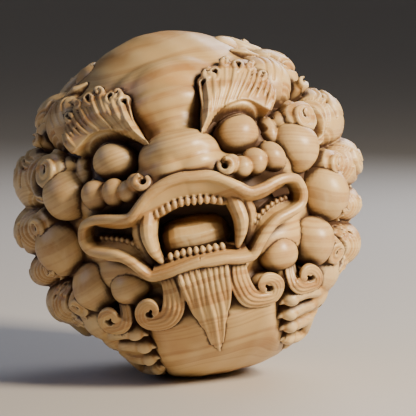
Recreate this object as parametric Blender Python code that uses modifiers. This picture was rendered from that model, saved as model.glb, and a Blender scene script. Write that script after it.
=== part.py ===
"""A carved wooden ball: a guardian lion curled up round a smaller ball, its face to the front.

The real one is cut from one block, so this is one solid. Its carving is drawn in shares of the
ball's radius, with the head upright, +Z up and the face looking along -Y. Only the right half is
drawn, and a Mirror makes the left. A voxel Remesh fuses the overlapping pieces into one block, the
head then leans as it rests, and the underside is cut flat there.
"""

import math

import bmesh
import bpy
from mathutils import Matrix, Vector

# Driving sizes, in metres and degrees
BALL_DIAMETER = 0.050
REST_SPOT_DIAMETER = 0.0096
HEAD_ROLL = 12.5
HEAD_PITCH = 6.0

# How finely the block is fused and faceted: voxel sizes in metres, smoothing rounds, triangles
FLESH_VOXEL = 0.00045
FLESH_ROUNDS = 6
CARVING_VOXEL = 0.00033
CARVING_ROUNDS = 1
TRIANGLES = 9600

# Levels of the surface, as shares of the ball's radius
RADIUS = BALL_DIAMETER / 2
GROUND = 0.85
CROWN = 0.965
BELLY = 0.965
MANE_TOP = 0.99
SOCKET_DEPTH = 0.07

# The rim of the right half of the lips, as seen from the front: (right, up)
MOUTH_RIM = [
    (0.000, 0.143), (0.105, 0.129), (0.190, 0.090), (0.262, 0.033), (0.324, -0.014), (0.391, -0.012),
    (0.458, 0.001), (0.525, 0.010), (0.570, -0.004), (0.590, -0.045), (0.588, -0.096), (0.562, -0.143),
    (0.500, -0.174), (0.432, -0.195), (0.372, -0.238), (0.319, -0.295), (0.286, -0.332), (0.252, -0.344),
    (0.133, -0.329), (0.000, -0.315),
]
MOUTH_DEPTH = 0.40

# Round lumps of the cheek and jaw, as seen from the front: right, up, radius, lift
LUMPS = [
    (0.290, 0.128, 0.052, 0.90), (0.366, 0.125, 0.066, 0.89), (0.466, 0.132, 0.070, 0.87),
    (0.584, 0.182, 0.122, 0.84), (0.535, 0.285, 0.088, 0.83), (0.709, -0.067, 0.132, 0.84),
    (0.596, -0.322, 0.118, 0.84), (0.400, -0.345, 0.105, 0.82),
]

# Toes of a forepaw, as seen from the front: right, up, half width
TOES = [(0.420, -0.600, 0.050), (0.430, -0.675, 0.055), (0.415, -0.750, 0.055), (0.370, -0.820, 0.048)]

# Full locks of the mane beside the face: longitude, latitude, radii across, up and out
SIDE_LOCKS = [
    (58, 37, 0.150, 0.215, 0.170), (74, 38, 0.160, 0.190, 0.170), (80, 17, 0.190, 0.170, 0.180),
    (82, -3, 0.170, 0.130, 0.150), (80, -16, 0.130, 0.110, 0.120), (78, -30, 0.170, 0.140, 0.150),
    (44, 56, 0.120, 0.110, 0.110),
]

# The curls those locks end in: longitude, latitude, reach, start, sweep, widths along the curl
SIDE_CURLS = [
    (70, 27, 0.075, 60, 300, (0.030, 0.045, 0.045, 0.030)),
    (66, 15, 0.215, 140, -300, (0.060, 0.085, 0.095, 0.080, 0.045)),
    (56, 18, 0.085, 110, -260, (0.030, 0.042, 0.042, 0.030)),
    (64, 2, 0.105, 150, -330, (0.045, 0.062, 0.066, 0.040)),
    (65, -12, 0.085, 60, 320, (0.040, 0.050, 0.050, 0.030)),
    (62, -26, 0.105, 60, 320, (0.045, 0.058, 0.058, 0.034)),
]

# Rows of plainer curls round the back: latitude, longitudes, reach
BACK_ROWS = [
    (63, (58, 98, 138, 178), 0.150),
    (41, (96, 124, 152), 0.165),
    (18, (105, 131, 157), 0.170),
    (-5, (100, 125, 150), 0.165),
    (-27, (97, 121), 0.140),
]


def on_front(right, up, lift=1.0):
    """The point that shows at (right, up) from the front, at lift from the ball's centre."""
    return Vector((right, -math.sqrt(max(lift**2 - right**2 - up**2, 0.0)), up))


def on_ball(longitude, latitude):
    """A drawing laid on the ball there: a function from (across, up, lift) to a point."""
    east, north = math.radians(longitude), math.radians(latitude)
    out = Vector((math.sin(east) * math.cos(north), -math.cos(east) * math.cos(north), math.sin(north)))
    across = Vector((math.cos(east), math.sin(east), 0))
    up = out.cross(across)

    def place(u, v, lift=1.0):
        return (out + across * u + up * v).normalized() * lift

    return place


def smooth_path(corners, steps=6):
    """A Catmull-Rom curve through the corners, with steps points for each stretch."""
    knots = [corners[0] * 2 - corners[1], *corners, corners[-1] * 2 - corners[-2]]
    path = []
    for a, b, c, d in zip(knots, knots[1:], knots[2:], knots[3:]):
        for step in range(steps):
            t = step / steps
            bend = (2 * a - 5 * b + 4 * c - d) * t**2 + (3 * b - a - 3 * c + d) * t**3
            path.append((2 * b + (c - a) * t + bend) / 2)
    return [*path, corners[-1]]


def flat_path(corners, steps=6):
    """smooth_path for pairs of numbers."""
    return [(point.x, point.y) for point in smooth_path([Vector((*pair, 0)) for pair in corners], steps)]


def arc(centre, radii, start, end, count=12):
    """Pairs of numbers along part of an ellipse, from start to end degrees."""
    angles = [math.radians(start + (end - start) * index / count) for index in range(count + 1)]
    return [(centre[0] + radii[0] * math.cos(a), centre[1] + radii[1] * math.sin(a)) for a in angles]


def value_at(values, share):
    """The value at a share of the way along a row of values."""
    along = share * (len(values) - 1)
    before = min(int(along), len(values) - 2)
    return values[before] + (values[before + 1] - values[before]) * (along - before)


def soft_step(value):
    """0 below 0, 1 above 1 and smooth between."""
    t = min(max(value, 0.0), 1.0)
    return t * t * (3 - 2 * t)


def mesh_of(obj):
    """The evaluated object as a plain mesh."""
    graph = bpy.context.evaluated_depsgraph_get()
    return bpy.data.meshes.new_from_object(obj.evaluated_get(graph))


def add_object(name, data, collection):
    """An object of its own in the collection."""
    obj = bpy.data.objects.new(name, data)
    collection.objects.link(obj)
    return obj


class Carving:
    """Eggs and ropes of wood that overlap, collected until they are fused."""

    def __init__(self, name, collection):
        self.name = name
        self.collection = collection
        self.eggs = bmesh.new()
        self.ropes = bpy.data.curves.new(name + " ropes", "CURVE")
        self.ropes.dimensions = "3D"
        self.ropes.bevel_depth = RADIUS
        self.ropes.bevel_resolution = 1
        self.ropes.use_fill_caps = True

    def egg(self, centre, radii, turn=0):
        """An ellipsoid with radii (across, up, out), turned about the way out of the ball."""
        facing = centre.to_track_quat("Z", "Y").to_matrix().to_4x4()
        matrix = Matrix.Translation(centre * RADIUS) @ facing @ Matrix.Rotation(math.radians(turn), 4, "Z")
        matrix = matrix @ Matrix.Diagonal((*(Vector(radii) * RADIUS), 1))
        bmesh.ops.create_uvsphere(self.eggs, u_segments=24, v_segments=14, radius=1, matrix=matrix)

    def rope(self, points, widths):
        """A tapering tube along points; widths are its radii at even steps along it."""
        spline = self.ropes.splines.new("POLY")
        spline.points.add(len(points) - 1)
        for index, point in enumerate(points):
            spline.points[index].co = (*(point * RADIUS), 1)
            spline.points[index].radius = value_at(widths, index / (len(points) - 1))

    def band(self, place, pairs, widths, top):
        """A rope over a drawing, its crest level at top."""
        last = len(pairs) - 1
        points = [place(u, v, top - value_at(widths, index / last)) for index, (u, v) in enumerate(pairs)]
        self.rope(points, widths)

    def curl(self, place, reach, start, sweep, widths, top, closing=0.60):
        """A band that winds in round the middle of a drawing."""
        count = max(8, int(abs(sweep) / 20))
        pairs = []
        for index in range(count + 1):
            angle = math.radians(start + sweep * index / count)
            radius = reach * (1 - closing * index / count)
            pairs.append((radius * math.cos(angle), radius * math.sin(angle)))
        self.band(place, pairs, widths, top)

    def finish(self):
        """Both halves as one mesh of overlapping closed pieces."""
        ropes = add_object(self.ropes.name, self.ropes, self.collection)
        self.eggs.from_mesh(mesh_of(ropes))
        bpy.data.objects.remove(ropes)
        bmesh.ops.remove_doubles(self.eggs, verts=self.eggs.verts, dist=1e-7)
        half = bpy.data.meshes.new(self.name)
        self.eggs.to_mesh(half)
        self.eggs.free()
        half_block = add_object(self.name, half, self.collection)
        half_block.modifiers.new("Left half", "MIRROR").use_mirror_merge = False
        whole = mesh_of(half_block)
        bpy.data.objects.remove(half_block)
        return whole


def level_at(facing):
    """How far out the blank lies in a direction: crown, belly, sockets or plain ground."""
    side = abs(facing.x)
    between_brows = soft_step((facing.z - 0.41) / 0.07) * soft_step((0.25 - side) / 0.06)
    over_brows = soft_step((facing.z - 0.68) / 0.06) * soft_step((0.58 - side) / 0.10)
    forehead = max(between_brows, over_brows) * soft_step((0.45 - facing.y) / 0.3)
    belly = soft_step((-facing.z - 0.52) / 0.14) * soft_step((0.50 - side) / 0.12)
    level = max(GROUND + (CROWN - GROUND) * forehead, GROUND + (BELLY - GROUND) * belly)
    if facing.y < 0:
        off_eye = math.hypot((side - 0.345) / 0.16, (facing.z - 0.31) / 0.17)
        level -= SOCKET_DEPTH * soft_step((1 - off_eye) / 0.4)
    return level


def blank_ball():
    """The turned ball with its broad forms left standing."""
    shape = bmesh.new()
    bmesh.ops.create_icosphere(shape, subdivisions=6, radius=1)
    for vertex in shape.verts:
        facing = vertex.co.normalized()
        vertex.co = facing * level_at(facing) * RADIUS
    return shape


def model_muzzle(flesh):
    """The nose, the bulge of the forehead over it, the brow and the cheek behind the lip."""
    flesh.egg(on_front(0.0, 0.245, 0.80), (0.235, 0.145, 0.170))
    flesh.egg(on_front(0.0, 0.330, 0.80), (0.135, 0.090, 0.130))
    flesh.egg(on_front(0.0, 0.540, 0.82), (0.190, 0.125, 0.150))
    flesh.egg(on_front(0.370, 0.560, 0.82), (0.215, 0.150, 0.140), turn=-12)
    flesh.egg(on_front(0.17, 0.120, 0.80), (0.160, 0.100, 0.120))


def carve_cheek(carving):
    """The round lumps of the cheek and jaw, and the curled wing of the nostril."""
    for right, up, size, lift in LUMPS:
        carving.egg(on_front(right, up, lift), (size, size * 1.05, size))
    wing = arc((0.214, 0.157), (0.045, 0.042), -200, 80)
    carving.rope([on_front(*pair, 0.95) for pair in wing], (0.030, 0.030, 0.024))


def carve_eye(carving):
    """The eyeball and its lids."""
    carving.egg(on_front(0.330, 0.293, 0.775), (0.118, 0.114, 0.118))
    upper_lid = arc((0.335, 0.300), (0.150, 0.140), 10, 170)
    carving.rope([on_front(*pair, 0.875) for pair in upper_lid], (0.014, 0.026, 0.014))
    lower_lid = arc((0.335, 0.285), (0.140, 0.115), -175, 15)
    carving.rope([on_front(*pair, 0.860) for pair in lower_lid], (0.020, 0.036, 0.020))


def carve_brow(carving, strands=5):
    """The tuft over the eye: strands that rise from the lid and end along its upper edge."""
    low = [(0.150, 0.350), (0.205, 0.425), (0.300, 0.465), (0.400, 0.460), (0.480, 0.430), (0.555, 0.400)]
    high = [(0.235, 0.640), (0.310, 0.665), (0.390, 0.655), (0.460, 0.610), (0.515, 0.540), (0.570, 0.440)]
    low, high = flat_path(low), flat_path(high)
    for strand in range(strands):
        share = strand / (strands - 1)
        (x0, z0), (x1, z1) = (line[round(share * (len(line) - 1))] for line in (low, high))
        bow = 0.035 * (1 - share)
        root, tip = on_front(x0, z0, 0.88), on_front(x1, z1, 0.945)
        middle = on_front((x0 + x1) / 2 - bow, (z0 + z1) / 2, 0.935)
        carving.rope(smooth_path([root, middle, tip]), (0.024, 0.036, 0.038))


def carve_lips(carving):
    """The raised rim of the mouth and the lips that slope in from it."""
    rim = [on_front(*pair, 0.930) for pair in flat_path(MOUTH_RIM, 4)]
    carving.rope(rim, (0.036, 0.034, 0.032, 0.030, 0.030, 0.030, 0.032, 0.032, 0.036))
    upper_lip = flat_path([(0.0, 0.085), (0.11, 0.07), (0.20, 0.025), (0.28, -0.035), (0.33, -0.06)], 5)
    carving.rope([on_front(*pair, 0.87) for pair in upper_lip], (0.062, 0.060, 0.055, 0.040))
    lower_lip = flat_path([(0.0, -0.285), (0.12, -0.298), (0.22, -0.315), (0.27, -0.31)], 5)
    carving.rope([on_front(*pair, 0.85) for pair in lower_lip], (0.048, 0.048, 0.040))


def carve_jaws(carving):
    """A fang, the gum beside it and the tongue."""
    fang = [(0.225, 0.0, 0.80), (0.238, -0.08, 0.86), (0.232, -0.17, 0.885), (0.205, -0.275, 0.87)]
    carving.rope(smooth_path([on_front(*corner) for corner in fang], 5), (0.050, 0.045, 0.036, 0.020))
    gum = [(0.275, -0.02, 0.76), (0.290, -0.12, 0.76), (0.285, -0.22, 0.76), (0.250, -0.30, 0.76)]
    carving.rope(smooth_path([on_front(*corner) for corner in gum], 4), (0.052, 0.052, 0.052))
    carving.egg(on_front(0.0, -0.180, 0.60), (0.185, 0.085, 0.240))


def carve_beard(carving):
    """The pointed tuft under the lip and the curls on both sides of it."""
    for share in (0, 0.5, 1):
        root, waist = on_front(0.130 * share, -0.365, 0.915), on_front(0.105 * share, -0.56, 0.955)
        tip = on_front(0.034 * share, -0.79 + 0.10 * share, 0.975)
        carving.rope(smooth_path([root, waist, tip]), (0.040, 0.038, 0.020))
    for inner in (0, 1):
        root = [(0.190 + 0.075 * inner, -0.365), (0.200 + 0.060 * inner, -0.455)]
        hook = arc((0.318, -0.530), (0.112 - 0.052 * inner, 0.112 - 0.052 * inner), 180, 420 + 120 * inner)
        carving.band(on_front, flat_path(root + hook, 2), (0.030, 0.034, 0.030), 0.985)
        root = [(0.415 + 0.065 * inner, -0.41), (0.440 + 0.040 * inner, -0.47)]
        hook = arc((0.552, -0.530), (0.105 - 0.050 * inner, 0.095 - 0.045 * inner), 180, 420 + 120 * inner)
        carving.band(on_front, flat_path(root + hook, 2), (0.030, 0.034, 0.028), 0.975)


def carve_mane(carving):
    """Snail curls in rows, large and full beside the face and plainer round the back."""
    for longitude, latitude, *radii in SIDE_LOCKS:
        carving.egg(on_ball(longitude, latitude)(0, 0, MANE_TOP - radii[2]), radii)
    for longitude, latitude, reach, start, sweep, widths in SIDE_CURLS:
        carving.curl(on_ball(longitude, latitude), reach, start, sweep, widths, MANE_TOP)
    hand = 1
    for latitude, longitudes, reach in BACK_ROWS:
        widths = [reach * share for share in (0.20, 0.40, 0.55, 0.50, 0.35, 0.25)]
        for longitude in longitudes:
            place = on_ball(longitude, latitude)
            carving.curl(place, 1.35 * reach, 90, 430 * hand, widths, MANE_TOP - 0.015, closing=0.85)
            carving.egg(place(0, 0, GROUND), (1.2 * reach, 1.2 * reach, 0.07))
        hand = -hand


def carve_paws(carving):
    """Forelegs round the belly with their toes, and folded haunches and hind feet behind."""
    foreleg = [on_ball(88, -36)(0, 0, 0.84), on_ball(68, -40)(0, 0, 0.85), on_ball(50, -43)(0, 0, 0.85)]
    carving.rope(smooth_path(foreleg), (0.10, 0.13, 0.10))
    for right, up, width in TOES:
        pairs = [(right + 0.10, up - 0.01), (right, up), (right - 0.06, up - 0.005), (right - 0.10, up - 0.02)]
        carving.band(on_front, flat_path(pairs, 4), (width * 0.8, width, width, width * 0.4), 0.985)
    carving.egg(on_ball(140, -44)(0, 0, 0.72), (0.30, 0.25, 0.24), turn=25)
    for step in range(3):
        place = on_ball(86 + 9 * step, -60 - 3 * step)
        carving.band(place, [(-0.12, 0.05), (0.0, 0.0), (0.12, -0.02)], (0.040, 0.055, 0.050), 0.97)


def carve_tail(carving):
    """A flame of a tail that lies up the back."""
    for bow, rise, width in ((0.0, 1.10, 0.060), (0.10, 0.70, 0.050), (0.19, 0.38, 0.042)):
        pairs = [(0.02, -0.40), (-0.6 * bow, -0.10), (-bow, rise * 0.45), (-0.4 * bow, rise)]
        carving.band(on_ball(180, -40), flat_path(pairs), (width * 0.7, width, width, width * 0.3), 0.965)


def as_cutter(obj):
    """Marks an object as a tool that is no part of the ball."""
    obj.hide_render = True
    obj.display_type = "WIRE"
    return obj


def mouth_hollow(collection):
    """What is cut out of the mouth: the rim's outline taken straight back into the head."""
    outline = flat_path(MOUTH_RIM, 4)
    outline += [(-right, up) for right, up in reversed(outline[1:-1])]
    flat = bpy.data.curves.new("mouth outline", "CURVE")
    flat.dimensions = "2D"
    flat.fill_mode = "BOTH"
    flat.extrude = MOUTH_DEPTH * RADIUS
    spline = flat.splines.new("POLY")
    spline.points.add(len(outline) - 1)
    for point, (right, up) in zip(spline.points, outline):
        point.co = (right * RADIUS, up * RADIUS, 0, 1)
    spline.use_cyclic_u = True
    curve = add_object("mouth outline", flat, collection)
    shape = bmesh.new()
    shape.from_mesh(mesh_of(curve))
    bpy.data.objects.remove(curve)
    bmesh.ops.remove_doubles(shape, verts=shape.verts, dist=1e-7)
    bmesh.ops.recalc_face_normals(shape, faces=shape.faces)
    bmesh.ops.transform(shape, matrix=Matrix.Rotation(math.radians(90), 4, "X"), verts=shape.verts)
    bmesh.ops.translate(shape, vec=(0, -RADIUS, 0), verts=shape.verts)
    return as_cutter(add_object("mouth_hollow", joined("mouth_hollow", shape), collection))


def floor_block(collection):
    """The block under the ball that cuts the flat spot it rests on."""
    level = -math.sqrt((BELLY * RADIUS) ** 2 - (REST_SPOT_DIAMETER / 2) ** 2)
    side = 2 * RADIUS
    block = bmesh.new()
    bmesh.ops.create_cube(block, size=side, matrix=Matrix.Translation((0, 0, level - side / 2)))
    return as_cutter(add_object("floor_block", joined("floor_block", block), collection))


def cut_away(obj, cutter):
    """Cuts the cutter's shape out of an object."""
    cut = obj.modifiers.new("Cut " + cutter.name, "BOOLEAN")
    cut.object = cutter
    cut.solver = "EXACT"


def fuse(obj, voxel, rounds):
    """One closed skin over everything that overlaps, with its creases eased."""
    remesh = obj.modifiers.new("Fuse", "REMESH")
    remesh.mode = "VOXEL"
    remesh.voxel_size = voxel
    ease = obj.modifiers.new("Ease", "SMOOTH")
    ease.iterations = rounds
    ease.factor = 0.5


def joined(name, shape, *others):
    """A shape and other meshes side by side in one mesh."""
    for mesh in others:
        shape.from_mesh(mesh)
    mesh = bpy.data.meshes.new(name)
    shape.to_mesh(mesh)
    shape.free()
    return mesh


def boxwood():
    """Pale yellow-brown wood, oiled and rubbed."""
    material = bpy.data.materials.new("boxwood")
    material.use_nodes = True
    shader = material.node_tree.nodes["Principled BSDF"]
    shader.inputs["Base Color"].default_value = (0.55, 0.33, 0.14, 1)
    shader.inputs["Roughness"].default_value = 0.45
    shader.inputs["Metallic"].default_value = 0.0
    return material


def carve_ball(parts, cutters):
    """Fuses the flesh, hollows the mouth, then adds the carving and fuses again."""
    flesh = Carving("flesh", parts)
    model_muzzle(flesh)
    carving = Carving("carving", parts)
    for carve in (carve_cheek, carve_eye, carve_brow, carve_lips, carve_jaws, carve_beard, carve_mane,
                  carve_paws, carve_tail):
        carve(carving)

    block = add_object("block", joined("block", blank_ball(), flesh.finish()), parts)
    fuse(block, FLESH_VOXEL, FLESH_ROUNDS)
    cut_away(block, mouth_hollow(cutters))
    whole = joined("carved_ball", bmesh.new(), mesh_of(block), carving.finish())
    ball = add_object("carved_ball", whole, parts)
    bpy.data.objects.remove(block)
    fuse(ball, CARVING_VOXEL, CARVING_ROUNDS)
    faces = 2 * len(mesh_of(ball).polygons)
    ball.modifiers.new("Facets", "DECIMATE").ratio = TRIANGLES / faces
    return ball


def lay_down(ball, cutters):
    """Rolls and lifts the face, cuts the flat spot and puts the origin under the middle."""
    lifted = Matrix.Rotation(math.radians(-HEAD_PITCH), 4, "X")
    rolled = Matrix.Rotation(math.radians(-HEAD_ROLL), 4, "Y")
    leaning = mesh_of(ball)
    leaning.transform(lifted @ rolled)
    ball.modifiers.clear()
    ball.data = leaning
    cut_away(ball, floor_block(cutters))
    corners = [vertex.co for vertex in mesh_of(ball).vertices]
    low = [min(corner[axis] for corner in corners) for axis in range(3)]
    high = [max(corner[axis] for corner in corners) for axis in range(3)]
    middle = Vector(((low[0] + high[0]) / 2, (low[1] + high[1]) / 2, low[2]))
    for obj in (ball, *cutters.objects):
        obj.location = -middle


def main():
    """Clears the scene, carves the ball and lays it on its flat spot."""
    for obj in list(bpy.data.objects):
        bpy.data.objects.remove(obj)
    parts = bpy.data.collections.new("carved ball")
    cutters = bpy.data.collections.new("cutters")
    bpy.context.scene.collection.children.link(parts)
    bpy.context.scene.collection.children.link(cutters)
    ball = carve_ball(parts, cutters)
    lay_down(ball, cutters)
    ball.data.materials.clear()
    ball.data.materials.append(boxwood())


main()
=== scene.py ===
"""The looks of a carved boxwood ball: a guardian lion curled up round the ball that it holds.

The carving is drawn in shares of the ball's radius and made in millimetres, with the head upright,
+Z up and the face looking along -Y. Each region of the carving is fused to one closed piece, cut with
drill and gouge, and laid down last as the ball rests: rolled to one side and tipped back a little.
"""

import logging
import math
from collections.abc import Callable, Sequence
from dataclasses import dataclass, field
from enum import Enum

import bmesh
import bpy
import numpy as np
from mathutils import Matrix, Vector


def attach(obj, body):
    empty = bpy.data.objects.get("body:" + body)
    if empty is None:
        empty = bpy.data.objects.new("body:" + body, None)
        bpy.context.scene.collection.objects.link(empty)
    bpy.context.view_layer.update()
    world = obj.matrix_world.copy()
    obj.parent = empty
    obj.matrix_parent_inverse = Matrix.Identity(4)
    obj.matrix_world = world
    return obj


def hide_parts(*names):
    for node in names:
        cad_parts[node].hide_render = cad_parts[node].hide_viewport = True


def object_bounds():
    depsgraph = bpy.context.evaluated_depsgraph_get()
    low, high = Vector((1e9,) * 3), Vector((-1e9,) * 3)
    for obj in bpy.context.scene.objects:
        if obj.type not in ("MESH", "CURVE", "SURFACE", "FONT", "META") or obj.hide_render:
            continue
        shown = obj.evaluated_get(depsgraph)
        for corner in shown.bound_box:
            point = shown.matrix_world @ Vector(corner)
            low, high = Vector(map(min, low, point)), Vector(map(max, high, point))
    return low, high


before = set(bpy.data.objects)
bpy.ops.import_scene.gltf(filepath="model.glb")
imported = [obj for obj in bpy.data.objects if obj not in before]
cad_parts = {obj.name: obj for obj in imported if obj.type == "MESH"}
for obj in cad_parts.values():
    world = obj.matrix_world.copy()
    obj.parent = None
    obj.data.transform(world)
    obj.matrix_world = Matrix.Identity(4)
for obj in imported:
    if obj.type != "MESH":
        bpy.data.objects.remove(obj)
CAD_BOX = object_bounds()

log = logging.getLogger("carved ball")
Drawing = Callable[..., np.ndarray]
Pairs = Sequence[tuple[float, float]]

# The ball, in millimetres and degrees, as it lies in the frame
MM = 0.001
RADIUS = 25.0
CENTRE_OFF_MIDDLE = (-0.031, -0.275)
BELLY_RADIUS = 24.125
REST_SPOT = 9.6
HEAD_ROLL = 12.5
HEAD_PITCH = 6.0
CENTRE = Vector((*CENTRE_OFF_MIDDLE, math.sqrt(BELLY_RADIUS**2 - (REST_SPOT / 2) ** 2)))

# How far away the picture was taken, and the level at which what stands near the outline is read off it,
# in shares of the ball's radius
CAMERA_AWAY = 16.0
BRIM_CREST = 0.97

# How much further than its own size a cut looks for wood, in mm, and how much of a hole's half width is
# taken up by its rounded edge
CUT_REACH = 2.5
DRILL_EDGE = 0.45


class Hand(Enum):
    """The side of the lion that shows on the right or left of the picture."""

    RIGHT = 1
    LEFT = -1


class Tool(Enum):
    """What a cut is made with."""

    DRILL = "drill"
    GOUGE = "gouge"


class Wood(Enum):
    """Names of the values stored on each point of the carving for its finish, its painted shade and its
    painted highlight.
    """

    # How shut in a point is: the wood is darkened there, as oil and as painted shade
    RECESS = "recess"
    # How far a point stands proud: the wood is paled there, as rubbed wear and as painted highlight
    RIDGE = "ridge"


def picture(hand: Hand = Hand.RIGHT) -> Drawing:
    """A drawing whose (x, z) are read off the upright picture, mirrored for the left hand.

    Args:
        hand: the side that positive x falls on.

    Returns:
        A function from (x, z, lift) to points in mm; lift is a share of the radius.
    """
    def place(x: np.ndarray, z: np.ndarray, lift: np.ndarray = 1.0) -> np.ndarray:
        """Where the camera sees (x, z) on the ball of that lift; five rounds settle the depth."""
        x, z, lift = np.broadcast_arrays(*(np.asarray(value, float) for value in (x, z, lift)))
        depth = np.zeros_like(lift)
        for _ in range(5):
            nearer = (CAMERA_AWAY - depth) / math.sqrt(CAMERA_AWAY**2 - 1)
            depth = np.sqrt(np.maximum(lift**2 - nearer**2 * (x**2 + z**2), 0.0))
        return np.stack([nearer * x * hand.value, -depth, nearer * z], -1) * RADIUS

    return place


def on_ball(longitude: float, latitude: float, hand: Hand = Hand.RIGHT) -> Drawing:
    """A drawing laid on the ball, its middle at a longitude from the face and a latitude.

    Args:
        longitude: degrees round from the face.
        latitude: degrees up from the ball's waist.
        hand: the side that the longitude counts to.

    Returns:
        A function from (across, up, lift) to points in mm.
    """
    east, north = math.radians(longitude), math.radians(latitude)
    out = np.array([math.sin(east) * math.cos(north), -math.cos(east) * math.cos(north), math.sin(north)])
    across = np.array([math.cos(east), math.sin(east), 0.0])
    up = np.cross(out, across)

    def place(u: np.ndarray, v: np.ndarray, lift: np.ndarray = 1.0) -> np.ndarray:
        """Where (u, v) on the plane that touches the ball there falls, straight in to that lift."""
        u, v, lift = np.broadcast_arrays(*(np.asarray(value, float) for value in (u, v, lift)))
        way = out + u[..., None] * across + v[..., None] * up
        way = way / np.linalg.norm(way, axis=-1, keepdims=True)
        return way * lift[..., None] * np.array([hand.value, 1, 1]) * RADIUS

    return place


def brim(hand: Hand) -> Drawing:
    """A drawing for what stands near the outline: its (x, z) are where a crest shows in the picture.

    Args:
        hand: the side that positive x falls on.

    Returns:
        A function from (x, z, lift) to points in mm on the line from the ball's centre.
    """
    face = picture(hand)

    def place(x: np.ndarray, z: np.ndarray, lift: np.ndarray = 1.0) -> np.ndarray:
        """The point of that lift under where the camera sees (x, z) on the crest."""
        spot = face(x, z, BRIM_CREST)
        lift = np.broadcast_to(np.asarray(lift, float), spot.shape[:-1])
        return spot / lengths(spot) * lift[..., None] * RADIUS

    return place


def smooth_path(corners: Pairs, steps: int = 6) -> np.ndarray:
    """A Catmull-Rom curve through the corners.

    Args:
        corners: the points it passes through.
        steps: points for each stretch between two corners.

    Returns:
        The curve's points, one row each.
    """
    knots = np.asarray(corners, float)
    knots = np.vstack([2 * knots[0] - knots[1], knots, 2 * knots[-1] - knots[-2]])
    t = (np.arange(steps) / steps)[:, None]
    rows = []
    for a, b, c, d in zip(knots, knots[1:], knots[2:], knots[3:]):
        bend = (2 * a - 5 * b + 4 * c - d) * t**2 + (3 * b - a - 3 * c + d) * t**3
        rows.append((2 * b + (c - a) * t + bend) / 2)
    return np.vstack([*rows, knots[-2]])


def arc(centre: tuple[float, float], radii: tuple[float, float], start: float, end: float,
        count: int = 12) -> list[tuple[float, float]]:
    """Points along part of an ellipse.

    Args:
        centre: its middle.
        radii: its half widths across and up.
        start: where the arc starts, in degrees.
        end: where it ends.
        count: how many stretches it has.

    Returns:
        The points as pairs.
    """
    angles = np.radians(np.linspace(start, end, count + 1))
    return [(centre[0] + radii[0] * math.cos(a), centre[1] + radii[1] * math.sin(a)) for a in angles]


def spiral(centre: tuple[float, float], reach: float, start: float, sweep: float,
           closing: float) -> list[tuple[float, float]]:
    """Points that wind in round a centre.

    Args:
        centre: the middle of the curl.
        reach: how far out it starts.
        start: the angle it starts at, in degrees.
        sweep: how far round it goes, negative for clockwise.
        closing: the share of the reach that is lost by the end.

    Returns:
        The points as pairs.
    """
    shares = np.linspace(0, 1, max(6, int(abs(sweep) / 30)) + 1)
    angles = np.radians(start + sweep * shares)
    radii = reach * (1 - closing * shares)
    return [(centre[0] + r * math.cos(a), centre[1] + r * math.sin(a)) for r, a in zip(radii, angles)]


def profile(values: float | Sequence[float], count: int) -> np.ndarray:
    """Spreads a value, or a row of values at even steps, over a number of points.

    Args:
        values: the value or the row.
        count: how many points.

    Returns:
        A value for each point.
    """
    row = np.atleast_1d(np.asarray(values, float))
    return np.interp(np.linspace(0, 1, count), np.linspace(0, 1, len(row)) if len(row) > 1 else [0], row)


def soft_step(value: np.ndarray) -> np.ndarray:
    """0 below 0, 1 above 1 and smooth between."""
    t = np.clip(value, 0.0, 1.0)
    return t * t * (3 - 2 * t)


def lengths(rows: np.ndarray) -> np.ndarray:
    """The length of each row, as a column."""
    return np.linalg.norm(rows, axis=-1, keepdims=True)


def placed(name: str, data: bpy.types.ID) -> bpy.types.Object:
    """Puts data in the scene as an object.

    Args:
        name: the object's name.
        data: its mesh, light or camera.

    Returns:
        The object.
    """
    obj = bpy.data.objects.new(name, data)
    bpy.context.scene.collection.objects.link(obj)
    return obj


def made(name: str, shape: bmesh.types.BMesh) -> bpy.types.Mesh:
    """Makes a bmesh into a mesh and frees it.

    Args:
        name: the mesh's name.
        shape: the bmesh.

    Returns:
        The mesh.
    """
    mesh = bpy.data.meshes.new(name)
    shape.to_mesh(mesh)
    shape.free()
    return mesh


def add_node(tree: bpy.types.NodeTree, kind: str, settings: dict | None = None,
             links: dict | None = None) -> bpy.types.Node:
    """Adds a node with its settings and links.

    Args:
        tree: the tree it goes in.
        kind: the node's type.
        settings: its properties by name.
        links: for inputs by name or number, the socket that feeds one or its plain value.

    Returns:
        The node.
    """
    node = tree.nodes.new(kind)
    for name, value in (settings or {}).items():
        setattr(node, name, value)
    for name, value in (links or {}).items():
        if isinstance(value, bpy.types.NodeSocket):
            tree.links.new(value, node.inputs[name])
        else:
            node.inputs[name].default_value = value
    return node


def new_tree(name: str, inputs: dict[str, tuple[str, object]]) -> tuple[bpy.types.NodeTree, bpy.types.Node]:
    """Starts a geometry node tree.

    Args:
        name: the tree's name.
        inputs: socket type and starting value of each named input besides the geometry.

    Returns:
        The tree and its input node.
    """
    tree = bpy.data.node_groups.new(name, "GeometryNodeTree")
    tree.interface.new_socket("Geometry", in_out="INPUT", socket_type="NodeSocketGeometry")
    tree.interface.new_socket("Geometry", in_out="OUTPUT", socket_type="NodeSocketGeometry")
    for label, (kind, value) in inputs.items():
        socket = tree.interface.new_socket(label, in_out="INPUT", socket_type=kind)
        if value is not None:
            socket.default_value = value
    return tree, tree.nodes.new("NodeGroupInput")


def end_tree(tree: bpy.types.NodeTree, given: bpy.types.Node, geometry: bpy.types.NodeSocket) -> None:
    """Ends a tree: instances made real, the wood set as material, and the output.

    Args:
        tree: the tree.
        given: its input node, which has a Material input.
        geometry: the socket that gives the finished geometry.
    """
    real = add_node(tree, "GeometryNodeRealizeInstances", links={"Geometry": geometry})
    dressed = add_node(tree, "GeometryNodeSetMaterial",
                       links={"Geometry": real.outputs[0], "Material": given.outputs["Material"]})
    add_node(tree, "NodeGroupOutput", links={0: dressed.outputs[0]})


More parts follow.
